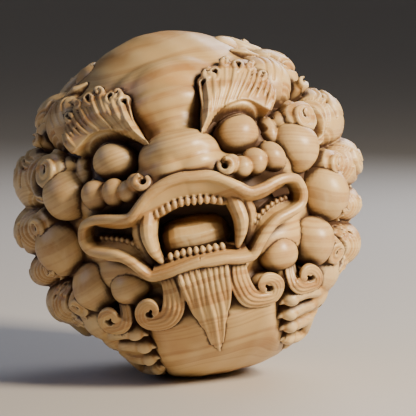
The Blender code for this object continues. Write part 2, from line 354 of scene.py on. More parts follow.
def run_tree(mesh: bpy.types.Mesh, tree: bpy.types.NodeTree, inputs: dict[str, object]) -> bpy.types.Mesh:
    """Runs a geometry node tree on a mesh.

    Args:
        mesh: what it starts from.
        tree: the tree.
        inputs: the modifier's inputs by name.

    Returns:
        The result as a plain mesh.
    """
    obj = placed(mesh.name, mesh)
    modifier = obj.modifiers.new(tree.name, "NODES")
    modifier.node_group = tree
    sockets = {item.name: item.identifier for item in tree.interface.items_tree if item.in_out == "INPUT"}
    for name, value in inputs.items():
        modifier[sockets[name]] = value
    return taken_off(obj)


def taken_off(obj: bpy.types.Object) -> bpy.types.Mesh:
    """Takes an object out of the scene and keeps what its modifiers made.

    Args:
        obj: the object, which is removed.

    Returns:
        Its evaluated mesh.
    """
    graph = bpy.context.evaluated_depsgraph_get()
    mesh = bpy.data.meshes.new_from_object(obj.evaluated_get(graph))
    bpy.data.objects.remove(obj)
    return mesh


def points_of(mesh: bpy.types.Mesh) -> np.ndarray:
    """Reads the places of a mesh's vertices.

    Args:
        mesh: the mesh.

    Returns:
        The places, one row each.
    """
    places = np.empty(len(mesh.vertices) * 3, np.float32)
    mesh.vertices.foreach_get("co", places)
    return places.reshape(-1, 3).astype(float)


def set_points(mesh: bpy.types.Mesh, places: np.ndarray) -> None:
    """Moves a mesh's vertices."""
    mesh.vertices.foreach_set("co", places.astype(np.float32).ravel())
    mesh.update()


@dataclass(frozen=True)
class StrandTree:
    """Geometry nodes that turn the centre lines of locks into strands of hair, side by side.

    A strand is round on top, and its root reaches down into the wood.
    """

    sides: int = 10
    root: float = 3.0

    def build(self) -> bpy.types.NodeTree:
        """Makes the tree; each line stores its side, out, spread, crown, thick and strands.

        Returns:
            The tree.
        """
        tree, given = new_tree("strands", {"Material": ("NodeSocketMaterial", None),
                                           "Sides": ("NodeSocketInt", self.sides),
                                           "Root": ("NodeSocketFloat", self.root)})
        kinds = {"strands": "INT", "spread": "FLOAT", "crown": "FLOAT", "thick": "FLOAT",
                 "side": "FLOAT_VECTOR", "out": "FLOAT_VECTOR", "axis": "FLOAT_VECTOR"}
        stored = {name: add_node(tree, "GeometryNodeInputNamedAttribute", {"data_type": kind},
                                 {"Name": name}).outputs[0] for name, kind in kinds.items()}
        lines = add_node(tree, "GeometryNodeMeshToCurve", links={"Mesh": given.outputs["Geometry"]})
        copies = add_node(tree, "GeometryNodeDuplicateElements", {"domain": "SPLINE"},
                          {"Geometry": lines.outputs[0], "Amount": stored["strands"]})
        # Where a copy stands across its lock: from just inside -1 to just inside 1, at even steps
        odd = add_node(tree, "ShaderNodeMath", {"operation": "MULTIPLY_ADD"},
                       {0: copies.outputs[1], 1: 2.0, 2: 1.0})
        share = add_node(tree, "ShaderNodeMath", {"operation": "DIVIDE"},
                         {0: odd.outputs[0], 1: stored["strands"]})
        across = add_node(tree, "ShaderNodeMath", {"operation": "SUBTRACT"}, {0: share.outputs[0], 1: 1.0})
        reach = add_node(tree, "ShaderNodeMath", {"operation": "MULTIPLY"},
                         {0: across.outputs[0], 1: stored["spread"]})
        square = add_node(tree, "ShaderNodeMath", {"operation": "MULTIPLY"},
                          {0: across.outputs[0], 1: across.outputs[0]})
        drop = add_node(tree, "ShaderNodeMath", {"operation": "MULTIPLY"},
                        {0: square.outputs[0], 1: stored["crown"]})
        sideways = add_node(tree, "ShaderNodeVectorMath", {"operation": "SCALE"},
                            {0: stored["side"], "Scale": reach.outputs[0]})
        inwards = add_node(tree, "ShaderNodeVectorMath", {"operation": "SCALE"},
                           {0: stored["out"], "Scale": drop.outputs[0]})
        shift = add_node(tree, "ShaderNodeVectorMath", {"operation": "SUBTRACT"},
                         {0: sideways.outputs[0], 1: inwards.outputs[0]})
        fanned = add_node(tree, "GeometryNodeSetPosition",
                          links={"Geometry": copies.outputs[0], "Offset": shift.outputs[0]})
        place = add_node(tree, "GeometryNodeInputPosition").outputs[0]
        marked = add_node(tree, "GeometryNodeStoreNamedAttribute",
                          {"data_type": "FLOAT_VECTOR", "domain": "POINT"},
                          {"Geometry": fanned.outputs[0], "Name": "axis", "Value": place})
        ring = add_node(tree, "GeometryNodeCurvePrimitiveCircle",
                        links={"Resolution": given.outputs["Sides"], "Radius": 1.0})
        tubes = add_node(tree, "GeometryNodeCurveToMesh",
                         links={"Curve": marked.outputs[0], "Profile Curve": ring.outputs[0],
                                "Scale": stored["thick"], "Fill Caps": True})
        # What of a tube lies below its own axis is drawn out towards the ball's centre
        off_axis = add_node(tree, "ShaderNodeVectorMath", {"operation": "SUBTRACT"},
                            {0: place, 1: stored["axis"]})
        height = add_node(tree, "ShaderNodeVectorMath", {"operation": "DOT_PRODUCT"},
                          {0: off_axis.outputs[0], 1: stored["out"]})
        below = add_node(tree, "ShaderNodeMath", {"operation": "MINIMUM"},
                         {0: height.outputs["Value"], 1: 0.0})
        deeper = add_node(tree, "ShaderNodeMath", {"operation": "MULTIPLY"},
                          {0: below.outputs[0], 1: given.outputs["Root"]})
        down = add_node(tree, "ShaderNodeVectorMath", {"operation": "SCALE"},
                        {0: stored["out"], "Scale": deeper.outputs[0]})
        rooted = add_node(tree, "GeometryNodeSetPosition",
                          links={"Geometry": tubes.outputs[0], "Offset": down.outputs[0]})
        end_tree(tree, given, rooted.outputs[0])
        return tree


@dataclass(frozen=True)
class TeethTree:
    """Geometry nodes that set a row of rounded teeth along a line."""

    segments: int = 12
    rings: int = 8

    def build(self) -> bpy.types.NodeTree:
        """Makes the tree, with the number of teeth and their half sizes as inputs.

        Returns:
            The tree.
        """
        tree, given = new_tree("teeth", {"Material": ("NodeSocketMaterial", None),
                                         "Teeth": ("NodeSocketInt", 10),
                                         "Half size": ("NodeSocketVector", (0.3, 0.4, 0.5))})
        line = add_node(tree, "GeometryNodeMeshToCurve", links={"Mesh": given.outputs["Geometry"]})
        spots = add_node(tree, "GeometryNodeResampleCurve",
                         links={"Curve": line.outputs[0], "Count": given.outputs["Teeth"]})
        tooth = add_node(tree, "GeometryNodeMeshUVSphere",
                         links={"Segments": self.segments, "Rings": self.rings, "Radius": 1.0})
        along = add_node(tree, "GeometryNodeInputTangent")
        turned = add_node(tree, "FunctionNodeAlignRotationToVector", {"axis": "X", "pivot_axis": "Z"},
                          {"Vector": along.outputs[0]})
        row = add_node(tree, "GeometryNodeInstanceOnPoints",
                       links={"Points": spots.outputs[0], "Instance": tooth.outputs[0],
                              "Rotation": turned.outputs[0], "Scale": given.outputs["Half size"]})
        end_tree(tree, given, row.outputs[0])
        return tree


@dataclass(frozen=True)
class LightAndWearTree:
    """Geometry nodes that find where dark oil gathers and painted shade falls, and where hands rub the wood
    pale and painted highlight goes.
    """

    # Rays from each point, how far they look in mm, and how much wood at the end of that reach counts
    looks: int = 20
    reach: float = 3.2
    far_weight: float = 0.25
    # Rounds of easing that the ridges stand out from
    spread: int = 4
    # How far off the surface the rays start, in mm, and the length of the ways that its normal is added to
    lift: float = 0.06
    fan: float = 0.98

    def ways(self) -> list[tuple[float, float, float]]:
        """Works out directions spread evenly over a ball, in a fixed order.

        Returns:
            The directions, a little shorter than a surface's normal, so that no sum comes to nothing.
        """
        golden = math.pi * (3 - math.sqrt(5))
        heights = [1 - 2 * (index + 0.5) / self.looks for index in range(self.looks)]
        rings = [math.sqrt(1 - height**2) for height in heights]
        turns = [golden * index for index in range(self.looks)]
        return [(self.fan * ring * math.cos(turn), self.fan * ring * math.sin(turn), self.fan * height)
                for turn, ring, height in zip(turns, rings, heights)]

    def build(self) -> bpy.types.NodeTree:
        """Makes the tree; it stores the recess and ridge values on each point.

        Returns:
            The tree.
        """
        tree, given = new_tree("wear", {"Material": ("NodeSocketMaterial", None),
                                        "Carving": ("NodeSocketObject", None),
                                        "Reach": ("NodeSocketFloat", self.reach),
                                        "Spread": ("NodeSocketInt", self.spread)})
        whole = add_node(tree, "GeometryNodeObjectInfo", links={"Object": given.outputs["Carving"]})
        place = add_node(tree, "GeometryNodeInputPosition").outputs[0]
        normal = add_node(tree, "GeometryNodeInputNormal").outputs[0]
        start = add_node(tree, "ShaderNodeVectorMath", {"operation": "MULTIPLY_ADD"},
                         {0: normal, 1: (self.lift,) * 3, 2: place}).outputs[0]
        # Ambient occlusion from rays cast round each point: how shut in it is, shown on the wood as painted
        # shade as well as oil
        total = None
        for way in self.ways():
            aim = add_node(tree, "ShaderNodeVectorMath", {"operation": "ADD"}, {0: normal, 1: way})
            ray = add_node(tree, "GeometryNodeRaycast",
                           links={"Target Geometry": whole.outputs["Geometry"], "Source Position": start,
                                  "Ray Direction": aim.outputs[0], "Ray Length": given.outputs["Reach"]})
            nearness = add_node(tree, "ShaderNodeMapRange", {"clamp": True},
                                {"Value": ray.outputs["Hit Distance"], "From Min": 0.0,
                                 "From Max": given.outputs["Reach"], "To Min": 1.0,
                                 "To Max": self.far_weight})
            shut = add_node(tree, "ShaderNodeMath", {"operation": "MULTIPLY"},
                            {0: nearness.outputs[0], 1: ray.outputs["Is Hit"]}).outputs[0]
            if total is not None:
                shut = add_node(tree, "ShaderNodeMath", {"operation": "ADD"}, {0: total, 1: shut}).outputs[0]
            total = shut
        mean = add_node(tree, "ShaderNodeMath", {"operation": "DIVIDE"}, {0: total, 1: float(self.looks)})
        even = add_node(tree, "GeometryNodeBlurAttribute", {"data_type": "FLOAT"},
                        {"Value": mean.outputs[0], "Iterations": 1})
        first = add_node(tree, "GeometryNodeStoreNamedAttribute", {"data_type": "FLOAT", "domain": "POINT"},
                         {"Geometry": given.outputs["Geometry"], "Name": Wood.RECESS.value,
                          "Value": even.outputs[0]})
        eased = add_node(tree, "GeometryNodeBlurAttribute", {"data_type": "FLOAT_VECTOR"},
                         {"Value": place, "Iterations": given.outputs["Spread"]})
        proud = add_node(tree, "ShaderNodeVectorMath", {"operation": "SUBTRACT"},
                         {0: place, 1: eased.outputs[0]})
        ridge = add_node(tree, "ShaderNodeVectorMath", {"operation": "DOT_PRODUCT"},
                         {0: proud.outputs[0], 1: normal})
        second = add_node(tree, "GeometryNodeStoreNamedAttribute", {"data_type": "FLOAT", "domain": "POINT"},
                          {"Geometry": first.outputs[0], "Name": Wood.RIDGE.value,
                           "Value": ridge.outputs["Value"]})
        end_tree(tree, given, second.outputs[0])
        return tree


@dataclass
class Cut:
    """One cut into the fused wood: a drilled hole at a point or a groove along a line, in mm."""

    tool: Tool
    line: np.ndarray
    width: float
    depth: float

    def apply(self, places: np.ndarray) -> None:
        """Pushes the points under the tool towards the ball's centre; a groove cuts alike at any height.

        Args:
            places: the wood's points, changed in place.
        """
        middle = self.line.mean(axis=0)
        reach = lengths(self.line - middle).max() + max(self.width, self.depth) + CUT_REACH
        near = np.flatnonzero(((places - middle) ** 2).sum(axis=1) < reach**2)
        if not len(near):
            return
        wood = places[near]
        if self.tool is Tool.DRILL:
            axis = self.line[0] / np.linalg.norm(self.line[0])
            off = wood - self.line[0]
            lateral = lengths(off - (off @ axis)[:, None] * axis)[:, 0]
            share = soft_step((self.width - lateral) / (DRILL_EDGE * self.width))
            places[near] = wood - axis * (share * self.depth)[:, None]
        else:
            way, line = wood / lengths(wood), self.line / lengths(self.line)
            gaps = RADIUS * np.sqrt(((way[:, None, :] - line[None, :, :]) ** 2).sum(axis=2))
            share = np.clip(1 - gaps.min(axis=1) / self.width, 0, 1)
            places[near] = wood - way * (share * self.depth)[:, None]


@dataclass
class Workbench:
    """The trees and the wood that every piece is made with."""

    wood: bpy.types.Material
    strands: bpy.types.NodeTree
    teeth: bpy.types.NodeTree
    wear: bpy.types.NodeTree


@dataclass
class Carver:
    """Shapes one piece: eggs, locks and lofts of wood that overlap, then cuts.

    Sizes passed to its methods are shares of the ball's radius unless they say mm.
    """

    name: str
    bench: Workbench
    # The skin's voxels in mm, its budget of triangles, rounds of easing, and the core that no cut enters
    voxel: float
    budget: int
    rounds: int
    core: float
    # How much lower a lock's edges lie than its middle, and how far its strands run into each other
    crown: float = 0.30
    overlap: float = 1.03
    # How far below a curl's crest its hole is drilled, and how deep
    hole_sink: float = 0.03
    hole_depth: float = 0.09
    solids: list[bpy.types.Mesh] = field(default_factory=list)
    cuts: list[Cut] = field(default_factory=list)
    lines: list[np.ndarray] = field(default_factory=list)
    values: dict[str, list[np.ndarray]] = field(default_factory=dict)

    def add_shape(self, shape: bmesh.types.BMesh) -> None:
        """Takes a bmesh in as one more solid."""
        self.solids.append(made(self.name + " solid", shape))

    def egg(self, centre: np.ndarray, radii: Sequence[float], turn: float = 0.0) -> None:
        """An ellipsoid with radii across, up and out.

        Args:
            centre: its middle, in mm.
            radii: its half widths.
            turn: its turn about the way out of the ball, in degrees.
        """
        spot = Vector(centre)
        facing = spot.to_track_quat("Z", "Y").to_matrix().to_4x4()
        matrix = Matrix.Translation(spot) @ facing @ Matrix.Rotation(math.radians(turn), 4, "Z")
        matrix = matrix @ Matrix.Diagonal((*(Vector(radii) * RADIUS), 1))
        shape = bmesh.new()
        bmesh.ops.create_uvsphere(shape, u_segments=40, v_segments=24, radius=1, matrix=matrix)
        self.add_shape(shape)

    def eggs(self, drawing: Drawing, rows: Sequence[Sequence[float]], hand: Hand) -> None:
        """An ellipsoid for each row.

        Args:
            drawing: what they are drawn on.
            rows: for each its place across and up, its lift, its radii across, up and out, and its turn.
            hand: the side they are on; turns are mirrored with it.
        """
        for across, up, lift, *radii, turn in rows:
            self.egg(drawing(across, up, lift), radii, turn * hand.value)

    def lock(self, drawing: Drawing, corners: Pairs, widths: float | Sequence[float],
             crest: float | Sequence[float], strands: int = 1, steps: int = 6) -> None:
        """A lock of hair, or with one strand a plain rope of wood.

        Args:
            drawing: what the corners are drawn on.
            corners: its centre line.
            widths: its half width along the line.
            crest: how far out its crest lies, as a share, along the line.
            strands: how many strands it has side by side.
            steps: points for each stretch of the line.
        """
        pairs = smooth_path(corners, steps)
        width = profile(widths, len(pairs))
        thick = width if strands == 1 else self.overlap * width / strands
        line = drawing(pairs[:, 0], pairs[:, 1], profile(crest, len(pairs)) - thick)
        along = np.gradient(line, axis=0)
        out = line / lengths(line)
        side = np.cross(along, out)
        side /= np.maximum(lengths(side), 1e-6)
        self.lines.append(line)
        stored = {"side": side, "out": out, "spread": width * RADIUS, "thick": thick * RADIUS,
                  "crown": width * RADIUS * self.crown * (strands > 1),
                  "strands": np.full(len(line), strands)}
        for name, row in stored.items():
            self.values.setdefault(name, []).append(row)

    def loft(self, rings: np.ndarray) -> None:
        """A closed body over rings of points.

        Args:
            rings: the rings' points in mm, as many in each.
        """
        shape = bmesh.new()
        rows = [[shape.verts.new(point) for point in ring] for ring in rings]
        for row, after in zip(rows, rows[1:]):
            for index in range(len(row)):
                after_index = (index + 1) % len(row)
                shape.faces.new((row[index], row[after_index], after[after_index], after[index]))
        shape.faces.new(rows[0][::-1])
        shape.faces.new(rows[-1])
        bmesh.ops.recalc_face_normals(shape, faces=shape.faces)
        self.add_shape(shape)

    def slope(self, outer: np.ndarray, inner: np.ndarray, thickness: float, bulge: float) -> None:
        """A lip or gum: a thick skin between two lines.

        Args:
            outer: its outer edge, in mm.
            inner: its inner edge, as many points.
            thickness: how thick it is towards the ball's centre, in mm.
            bulge: how far its middle stands out, in mm.
        """
        shares = np.linspace(0, 1, 6)[None, :, None]
        front = outer[:, None, :] * (1 - shares) + inner[:, None, :] * shares
        front = front + front / lengths(front) * bulge * 4 * shares * (1 - shares)
        back = front * (1 - thickness / lengths(front))
        self.loft(np.concatenate([front, back[:, ::-1]], axis=1))

    def teeth(self, drawing: Drawing, pairs: np.ndarray, lift: float, count: int,
              half_size: tuple[float, float, float]) -> None:
        """A row of teeth along a line.

        Args:
            drawing: what the line is drawn on.
            pairs: the line.
            lift: how far out it lies.
            count: how many teeth.
            half_size: a tooth's half sizes along the row, through it and up, in mm.
        """
        line = drawing(*pairs.T, lift)
        mesh = bpy.data.meshes.new(self.name + " teeth")
        mesh.from_pydata(line.tolist(), [(i, i + 1) for i in range(len(line) - 1)], [])
        inputs = {"Material": self.bench.wood, "Teeth": count, "Half size": half_size}
        self.solids.append(run_tree(mesh, self.bench.teeth, inputs))

    def drill(self, spot: np.ndarray, width: float, depth: float) -> None:
        """A drilled hole at a point in mm, with its half width and depth as shares."""
        self.cuts.append(Cut(Tool.DRILL, spot[None, :], width * RADIUS, depth * RADIUS))

    def gouge(self, drawing: Drawing, pairs: Pairs, lift: float, width: float, depth: float) -> None:
        """A V groove along a line.

        Args:
            drawing: what the line is drawn on.
            pairs: the line.
            lift: how far out it lies.
            width: the groove's half width.
            depth: its depth.
        """
        line = drawing(*np.transpose(pairs), lift)
        self.cuts.append(Cut(Tool.GOUGE, line, width * RADIUS, depth * RADIUS))

    def curl(self, drawing: Drawing, root: Pairs, centre: tuple[float, float], reach: float, start: float,
             sweep: float, widths: Sequence[float], crest: float, strands: int, hole: float,
             closing: float, sink: float = 0.06, dome: float = 0.0) -> None:
        """A lock that runs from its root and winds in round a centre, with a hole drilled there.

        Args:
            drawing: what it is drawn on.
            root: the points of its straight part.
            centre: the middle of the curl.
            reach: how far from it the curl starts.
            start: the angle it starts at, in degrees.
            sweep: how far round it goes.
            widths: its half width along the whole line.
            crest: how far out its crest lies.
            strands: how many strands it has.
            hole: the half width of the hole.
            closing: the share of the reach that is lost by the end.
            sink: how much lower its root starts.
            dome: how much higher its middle lies.
        """
        corners = [*root, *spiral(centre, reach, start, sweep, closing)]
        rise = (crest - sink, crest, crest, crest, crest + dome / 2, crest + dome)
        self.lock(drawing, corners, widths, rise, strands, steps=3)
        self.drill(drawing(*centre, crest - self.hole_sink), hole, self.hole_depth)

    def strand_mesh(self) -> bpy.types.Mesh:
        """Turns all the locks into strands.

        Returns:
            One mesh of closed strands.
        """
        mesh = bpy.data.meshes.new(self.name + " lines")
        counts = [len(line) for line in self.lines]
        starts = np.cumsum([0, *counts])
        edges = [(int(s) + i, int(s) + i + 1) for s, n in zip(starts, counts) for i in range(n - 1)]
        mesh.from_pydata(np.vstack(self.lines).tolist(), edges, [])
        for name, rows in self.values.items():
            row = np.concatenate(rows)
            kind = "FLOAT_VECTOR" if row.ndim == 2 else "INT" if name == "strands" else "FLOAT"
            stored = mesh.attributes.new(name, kind, "POINT")
            stored.data.foreach_set("vector" if row.ndim == 2 else "value", row.ravel())
        return run_tree(mesh, self.bench.strands, {"Material": self.bench.wood})

    def fuse(self) -> bpy.types.Mesh:
        """Fuses everything, eases it, cuts it and thins it to its budget of triangles.

        Returns:
            One mesh with a closed skin.
        """
        if self.lines:
            self.solids.append(self.strand_mesh())
        shape = bmesh.new()
        for mesh in self.solids:
            shape.from_mesh(mesh)
        bmesh.ops.remove_doubles(shape, verts=shape.verts, dist=1e-4)
        obj = placed(self.name, made(self.name, shape))
        skin = obj.modifiers.new("Skin", "REMESH")
        skin.mode = "VOXEL"
        skin.voxel_size = self.voxel
        ease = obj.modifiers.new("Ease", "SMOOTH")
        ease.iterations = self.rounds
        ease.factor = 0.5
        mesh = taken_off(obj)
        places = points_of(mesh)
        for cut in self.cuts:
            cut.apply(places)
        far = lengths(places)
        set_points(mesh, places * np.maximum(1.0, self.core * RADIUS / np.maximum(far, 1.0)))
        triangles = 2 * len(mesh.polygons)
        if triangles > self.budget:
            thin = placed(self.name, mesh)
            thin.modifiers.new("Thin", "DECIMATE").ratio = self.budget / triangles
            mesh = taken_off(thin)
        mesh.name = self.name
        return mesh


# The rim of the mouth's right half in the picture: (right, up)
MOUTH_RIM = [
    (0.000, 0.150), (0.110, 0.136), (0.200, 0.095), (0.275, 0.035), (0.340, -0.015), (0.410, -0.012),
    (0.480, 0.002), (0.552, 0.011), (0.600, -0.004), (0.620, -0.047), (0.618, -0.101), (0.590, -0.150),
    (0.522, -0.183), (0.452, -0.205), (0.390, -0.250), (0.335, -0.310), (0.300, -0.350), (0.265, -0.362),
    (0.140, -0.345), (0.000, -0.328),
]


@dataclass
class Block:
    """The ball itself: smooth forehead and belly, sockets, muzzle and cheeks, hollowed at the mouth."""

    bench: Workbench
    # How far out the ground between the locks and the belly lie, and how deep the sockets and the mouth are
    ground: float = 0.81
    belly: float = 0.965
    socket: float = 0.060
    mouth_depth: float = 0.44
    # How much smaller the mouth's outline is than in the picture, being nearer, and how it closes in behind
    mouth_front: float = 0.945
    mouth_back: float = 0.90
    # The voxels of the first, softer fusing in mm, its triangles and its rounds of easing
    flesh_voxel: float = 0.40
    flesh_budget: int = 400000
    flesh_rounds: int = 5
    # The dome of the forehead on the ball: latitude, lift, radii across, up and out
    dome: Sequence[tuple[float, ...]] = ((76, 0.50, 0.580, 0.560, 0.462), (52, 0.55, 0.430, 0.250, 0.410))
    # The masses of forehead, nose, brow and lips in the picture: right, up, lift, radii and turn
    masses: Sequence[tuple[float, ...]] = (
        (0.0, 0.595, 0.765, 0.240, 0.190, 0.210, 0), (0.0, 0.527, 0.790, 0.222, 0.112, 0.172, 0),
        (0.0, 0.400, 0.700, 0.190, 0.110, 0.190, 0), (0.0, 0.266, 0.765, 0.222, 0.136, 0.216, 0),
        (0.105, 0.250, 0.765, 0.118, 0.104, 0.178, 0), (0.060, 0.185, 0.775, 0.160, 0.090, 0.178, 0),
        (0.385, 0.575, 0.78, 0.225, 0.140, 0.150, -10), (0.18, 0.127, 0.78, 0.170, 0.100, 0.135, 0),
        (0.46, 0.100, 0.77, 0.150, 0.110, 0.110, 0), (0.42, -0.300, 0.77, 0.200, 0.110, 0.110, 0),
        (0.10, -0.370, 0.78, 0.160, 0.080, 0.120, 0))

    def level(self, way: np.ndarray) -> np.ndarray:
        """Works out how far out the blank lies.

        Args:
            way: directions from the ball's centre, one row each.

        Returns:
            The level in each direction, as a share of the radius.
        """
        side, up = np.abs(way[:, 0]), way[:, 2]
        front = np.maximum(soft_step((0.30 - way[:, 1]) / 0.50), soft_step((-up - 0.70) / 0.20))
        belly = soft_step((-up - 0.50) / 0.16) * soft_step((0.50 - side) / 0.20) * front
        level = self.ground + (self.belly - self.ground) * belly
        off_eye = np.hypot((side - 0.345) / 0.18, (up - 0.32) / 0.19)
        return level - self.socket * soft_step((1 - off_eye) / 0.4) * (way[:, 1] < 0)

    def blank(self) -> bpy.types.Mesh:
        """Turns the ball with its broad forms left standing.

        Returns:
            The blank's mesh.
        """
        shape = bmesh.new()
        bmesh.ops.create_icosphere(shape, subdivisions=7, radius=1)
        mesh = made("blank", shape)
        way = points_of(mesh)
        way /= lengths(way)
        set_points(mesh, way * self.level(way)[:, None] * RADIUS)
        return mesh

    def flesh(self) -> bpy.types.Mesh:
        """Fuses the blank smoothly with the masses of forehead, nose, brow and lips.

        Returns:
            The mesh.
        """
        carver = Carver("flesh", self.bench, self.flesh_voxel, self.flesh_budget, self.flesh_rounds, 0.0)
        carver.solids.append(self.blank())
        for hand in Hand:
            for latitude, lift, *radii in self.dome:
                carver.egg(on_ball(0, latitude)(0, 0, lift), radii)
            carver.eggs(picture(hand), self.masses, hand)
        return carver.fuse()

    def hollow(self) -> bpy.types.Object:
        """Makes what is cut out of the mouth: the rim's outline taken straight back into the head.

        Returns:
            The cutter, in the scene.
        """
        half = smooth_path(MOUTH_RIM, 4)
        outline = np.vstack([half, half[-2:0:-1] * (-1, 1)])
        front, back = outline * self.mouth_front * RADIUS, outline * self.mouth_back * RADIUS
        shape = bmesh.new()
        rings = []
        for line, depth in ((front, 1.0), (back, 1 - self.mouth_depth)):
            rings.append([shape.verts.new((x, -depth * RADIUS, z)) for x, z in line])
        for index in range(len(outline)):
            after = (index + 1) % len(outline)
            shape.faces.new((rings[0][index], rings[0][after], rings[1][after], rings[1][index]))
        shape.faces.new(rings[0])
        shape.faces.new(rings[1])
        bmesh.ops.recalc_face_normals(shape, faces=shape.faces)
        return placed("mouth hollow", made("mouth hollow", shape))

    def carve(self) -> bpy.types.Mesh:
        """Hollows the block at the mouth.

        Returns:
            The finished mesh.
        """
        block = placed("block", self.flesh())
        cutter = self.hollow()
        cut = block.modifiers.new("Mouth", "BOOLEAN")
        cut.object = cutter
        cut.solver = "EXACT"
        hollowed = taken_off(block)
        bpy.data.objects.remove(cutter)
        carver = Carver("head_and_belly", self.bench, 0.21, 130000, 2, core=0.0)
        carver.solids.append(hollowed)
        for hand in Hand:
            edge_of_forehead(carver, hand)
        return carver.fuse()


def edge_of_forehead(carver: Carver, hand: Hand) -> None:
    """The deep line between the forehead's bulge and the brow's inner strands.

    Args:
        carver: what it is cut with; it crosses two pieces, so both are cut.
        hand: the side it is on.
    """
    line = smooth_path([(0.222, 0.640), (0.216, 0.570), (0.196, 0.490), (0.164, 0.415)], 14)
    carver.gouge(picture(hand), line, 0.945, 0.022, 0.028)


def along(line: np.ndarray, share: float) -> np.ndarray:
    """Finds a place along a line.

    Args:
        line: the line's points.
        share: how far along them, from 0 to 1.

    Returns:
        The point there.
    """
    places = np.linspace(0, 1, len(line))
    return np.array([np.interp(share, places, row) for row in line.T])


@dataclass
class Face:
    """Brows, eyes, the wings of the nostrils and the round lumps of the cheeks."""

    bench: Workbench
    # The tips and the feet of a brow's strands, from the nose outwards
    brow_top: Pairs = ((0.215, 0.610), (0.262, 0.664), (0.350, 0.695), (0.450, 0.680), (0.540, 0.610),
                       (0.598, 0.510))
    brow_foot: Pairs = ((0.152, 0.358), (0.200, 0.412), (0.268, 0.462), (0.355, 0.490), (0.455, 0.478),
                        (0.560, 0.400))
    brow_strands: int = 21
    # Small curls along the top of a brow: share of the way along it, rise, reach, start, sweep
    brow_curls: Sequence[tuple[float, float, float, float, float]] = (
        (0.05, 0.000, 0.036, 200, 400), (0.17, 0.014, 0.030, 20, -400), (0.27, -0.018, 0.042, 200, 420),
        (0.42, 0.012, 0.030, 340, -380), (0.53, -0.016, 0.040, 190, 400), (0.68, 0.004, 0.026, 0, -400),
        (0.80, -0.012, 0.030, 200, 380))
    # The eyeball's place and radius, and its lid's two grooves: reach, half width and depth
    eye: tuple[float, float, float] = (0.338, 0.302, 0.126)
    lid_grooves: Sequence[tuple[float, float, float]] = ((0.158, 0.014, 0.030), (0.196, 0.022, 0.040))
    # Round lumps: place, radii across and up, lift of the middle
    lumps: Sequence[tuple[float, float, float, float, float]] = (
        (0.318, 0.128, 0.058, 0.060, 0.885), (0.395, 0.140, 0.068, 0.076, 0.870),
        (0.490, 0.142, 0.082, 0.086, 0.850), (0.632, 0.180, 0.142, 0.142, 0.825),
        (0.590, 0.320, 0.085, 0.070, 0.820), (0.730, -0.095, 0.142, 0.158, 0.835),
        (0.602, -0.345, 0.130, 0.140, 0.830), (0.415, -0.380, 0.112, 0.100, 0.830))
    # How much lower each fine line on the jaw's lump lies than the first
    jaw_lines: Sequence[float] = (0.0, 0.030, 0.060)

    def carve_brow(self, carver: Carver, hand: Hand) -> None:
        """The tuft over the eye: strands that fan up from the lid, and small drilled curls along the top.

        Args:
            carver: what takes it in.
            hand: the side it is on.
        """
        spot = picture(hand)
        tops, feet = smooth_path(self.brow_top, 10), smooth_path(self.brow_foot, 10)
        for strand in range(self.brow_strands):
            share = (strand / (self.brow_strands - 1)) ** 1.08
            top, foot = along(tops, share), along(feet, share)
            middle = 0.5 * (top + foot) + (0.022 - 0.010 * share, 0.004)
            wide = 0.0155 - 0.0045 * share
            crest = 0.956 - 0.014 * share + 0.005 * math.sin(2.4 * strand)
            carver.lock(spot, [tuple(top), tuple(middle), tuple(foot)], (0.9 * wide, wide, 0.6 * wide),
                        (crest, crest + 0.010, crest - 0.028))
        for share, rise, reach, start, sweep in self.brow_curls:
            x, z = along(tops, share) + (0, rise)
            widths = (0.010, 0.014, 0.014, 0.010)
            carver.curl(spot, [], (x, z), reach, start, sweep, widths, 0.960, 1, 0.40 * reach, 0.75)
            carver.egg(spot(x, z, 0.905), (1.1 * reach, 1.1 * reach, 0.040))
        carver.slope(spot(*tops.T, 0.932), spot(*feet.T, 0.918), 4.0, 0.45)

    def carve_eye(self, carver: Carver, hand: Hand) -> None:
        """The bulging eyeball, its upper lid with two fine grooves, and the soft lid under it.

        Args:
            carver: what takes it in.
            hand: the side it is on.
        """
        spot = picture(hand)
        x, z, size = self.eye
        carver.egg(spot(x, z, 0.800), (size, 0.86 * size, 0.98 * size), 8 * hand.value)
        carver.egg(spot(x + 0.030, z + 0.118, 0.790), (0.180, 0.072, 0.112), -8 * hand.value)
        for reach, wide, deep in self.lid_grooves:
            groove = arc((x + 0.012, z - 0.002), (reach, 0.83 * reach), 12, 160, 60)
            carver.gouge(spot, groove, 0.91, wide, deep)
        under = arc((x + 0.004, z - 0.008), (0.160, 0.136), -160, -25)
        carver.lock(spot, under, (0.012, 0.030, 0.036, 0.030, 0.012), (0.810, 0.838, 0.838), steps=2)
        carver.egg(spot(0.510, 0.290, 0.805), (0.050, 0.095, 0.060), -10 * hand.value)

    def carve_cheek(self, carver: Carver, hand: Hand) -> None:
        """The lumps of cheek and jaw, with three fine lines on one, and the wing of the nostril.

        Args:
            carver: what takes it in.
            hand: the side it is on.
        """
        spot = picture(hand)
        for x, z, wide, high, lift in self.lumps:
            carver.egg(spot(x, z, lift), (wide, high, 0.5 * (wide + high)))
        wing = arc((0.236, 0.168), (0.036, 0.036), -215, 85)
        carver.lock(spot, wing, (0.016, 0.022, 0.022, 0.012), (0.93, 0.965, 0.965), steps=2)
        carver.egg(spot(0.262, 0.160, 0.890), (0.058, 0.056, 0.058))
        carver.drill(spot(0.236, 0.166, 0.955), 0.018, 0.07)
        for rise in self.jaw_lines:
            line = smooth_path([(0.640, -0.120 - rise), (0.675, -0.135 - rise), (0.700, -0.165 - rise)], 8)
            carver.gouge(spot, line, 0.94, 0.010, 0.008)

    def carve(self) -> bpy.types.Mesh:
        """Carves the whole face.

        Returns:
            One mesh.
        """
        carver = Carver("brows_eyes_and_cheeks", self.bench, 0.105, 180000, 1, core=0.72)
        for hand in Hand:
            self.carve_brow(carver, hand)
            self.carve_eye(carver, hand)
            self.carve_cheek(carver, hand)
            edge_of_forehead(carver, hand)
        return carver.fuse()


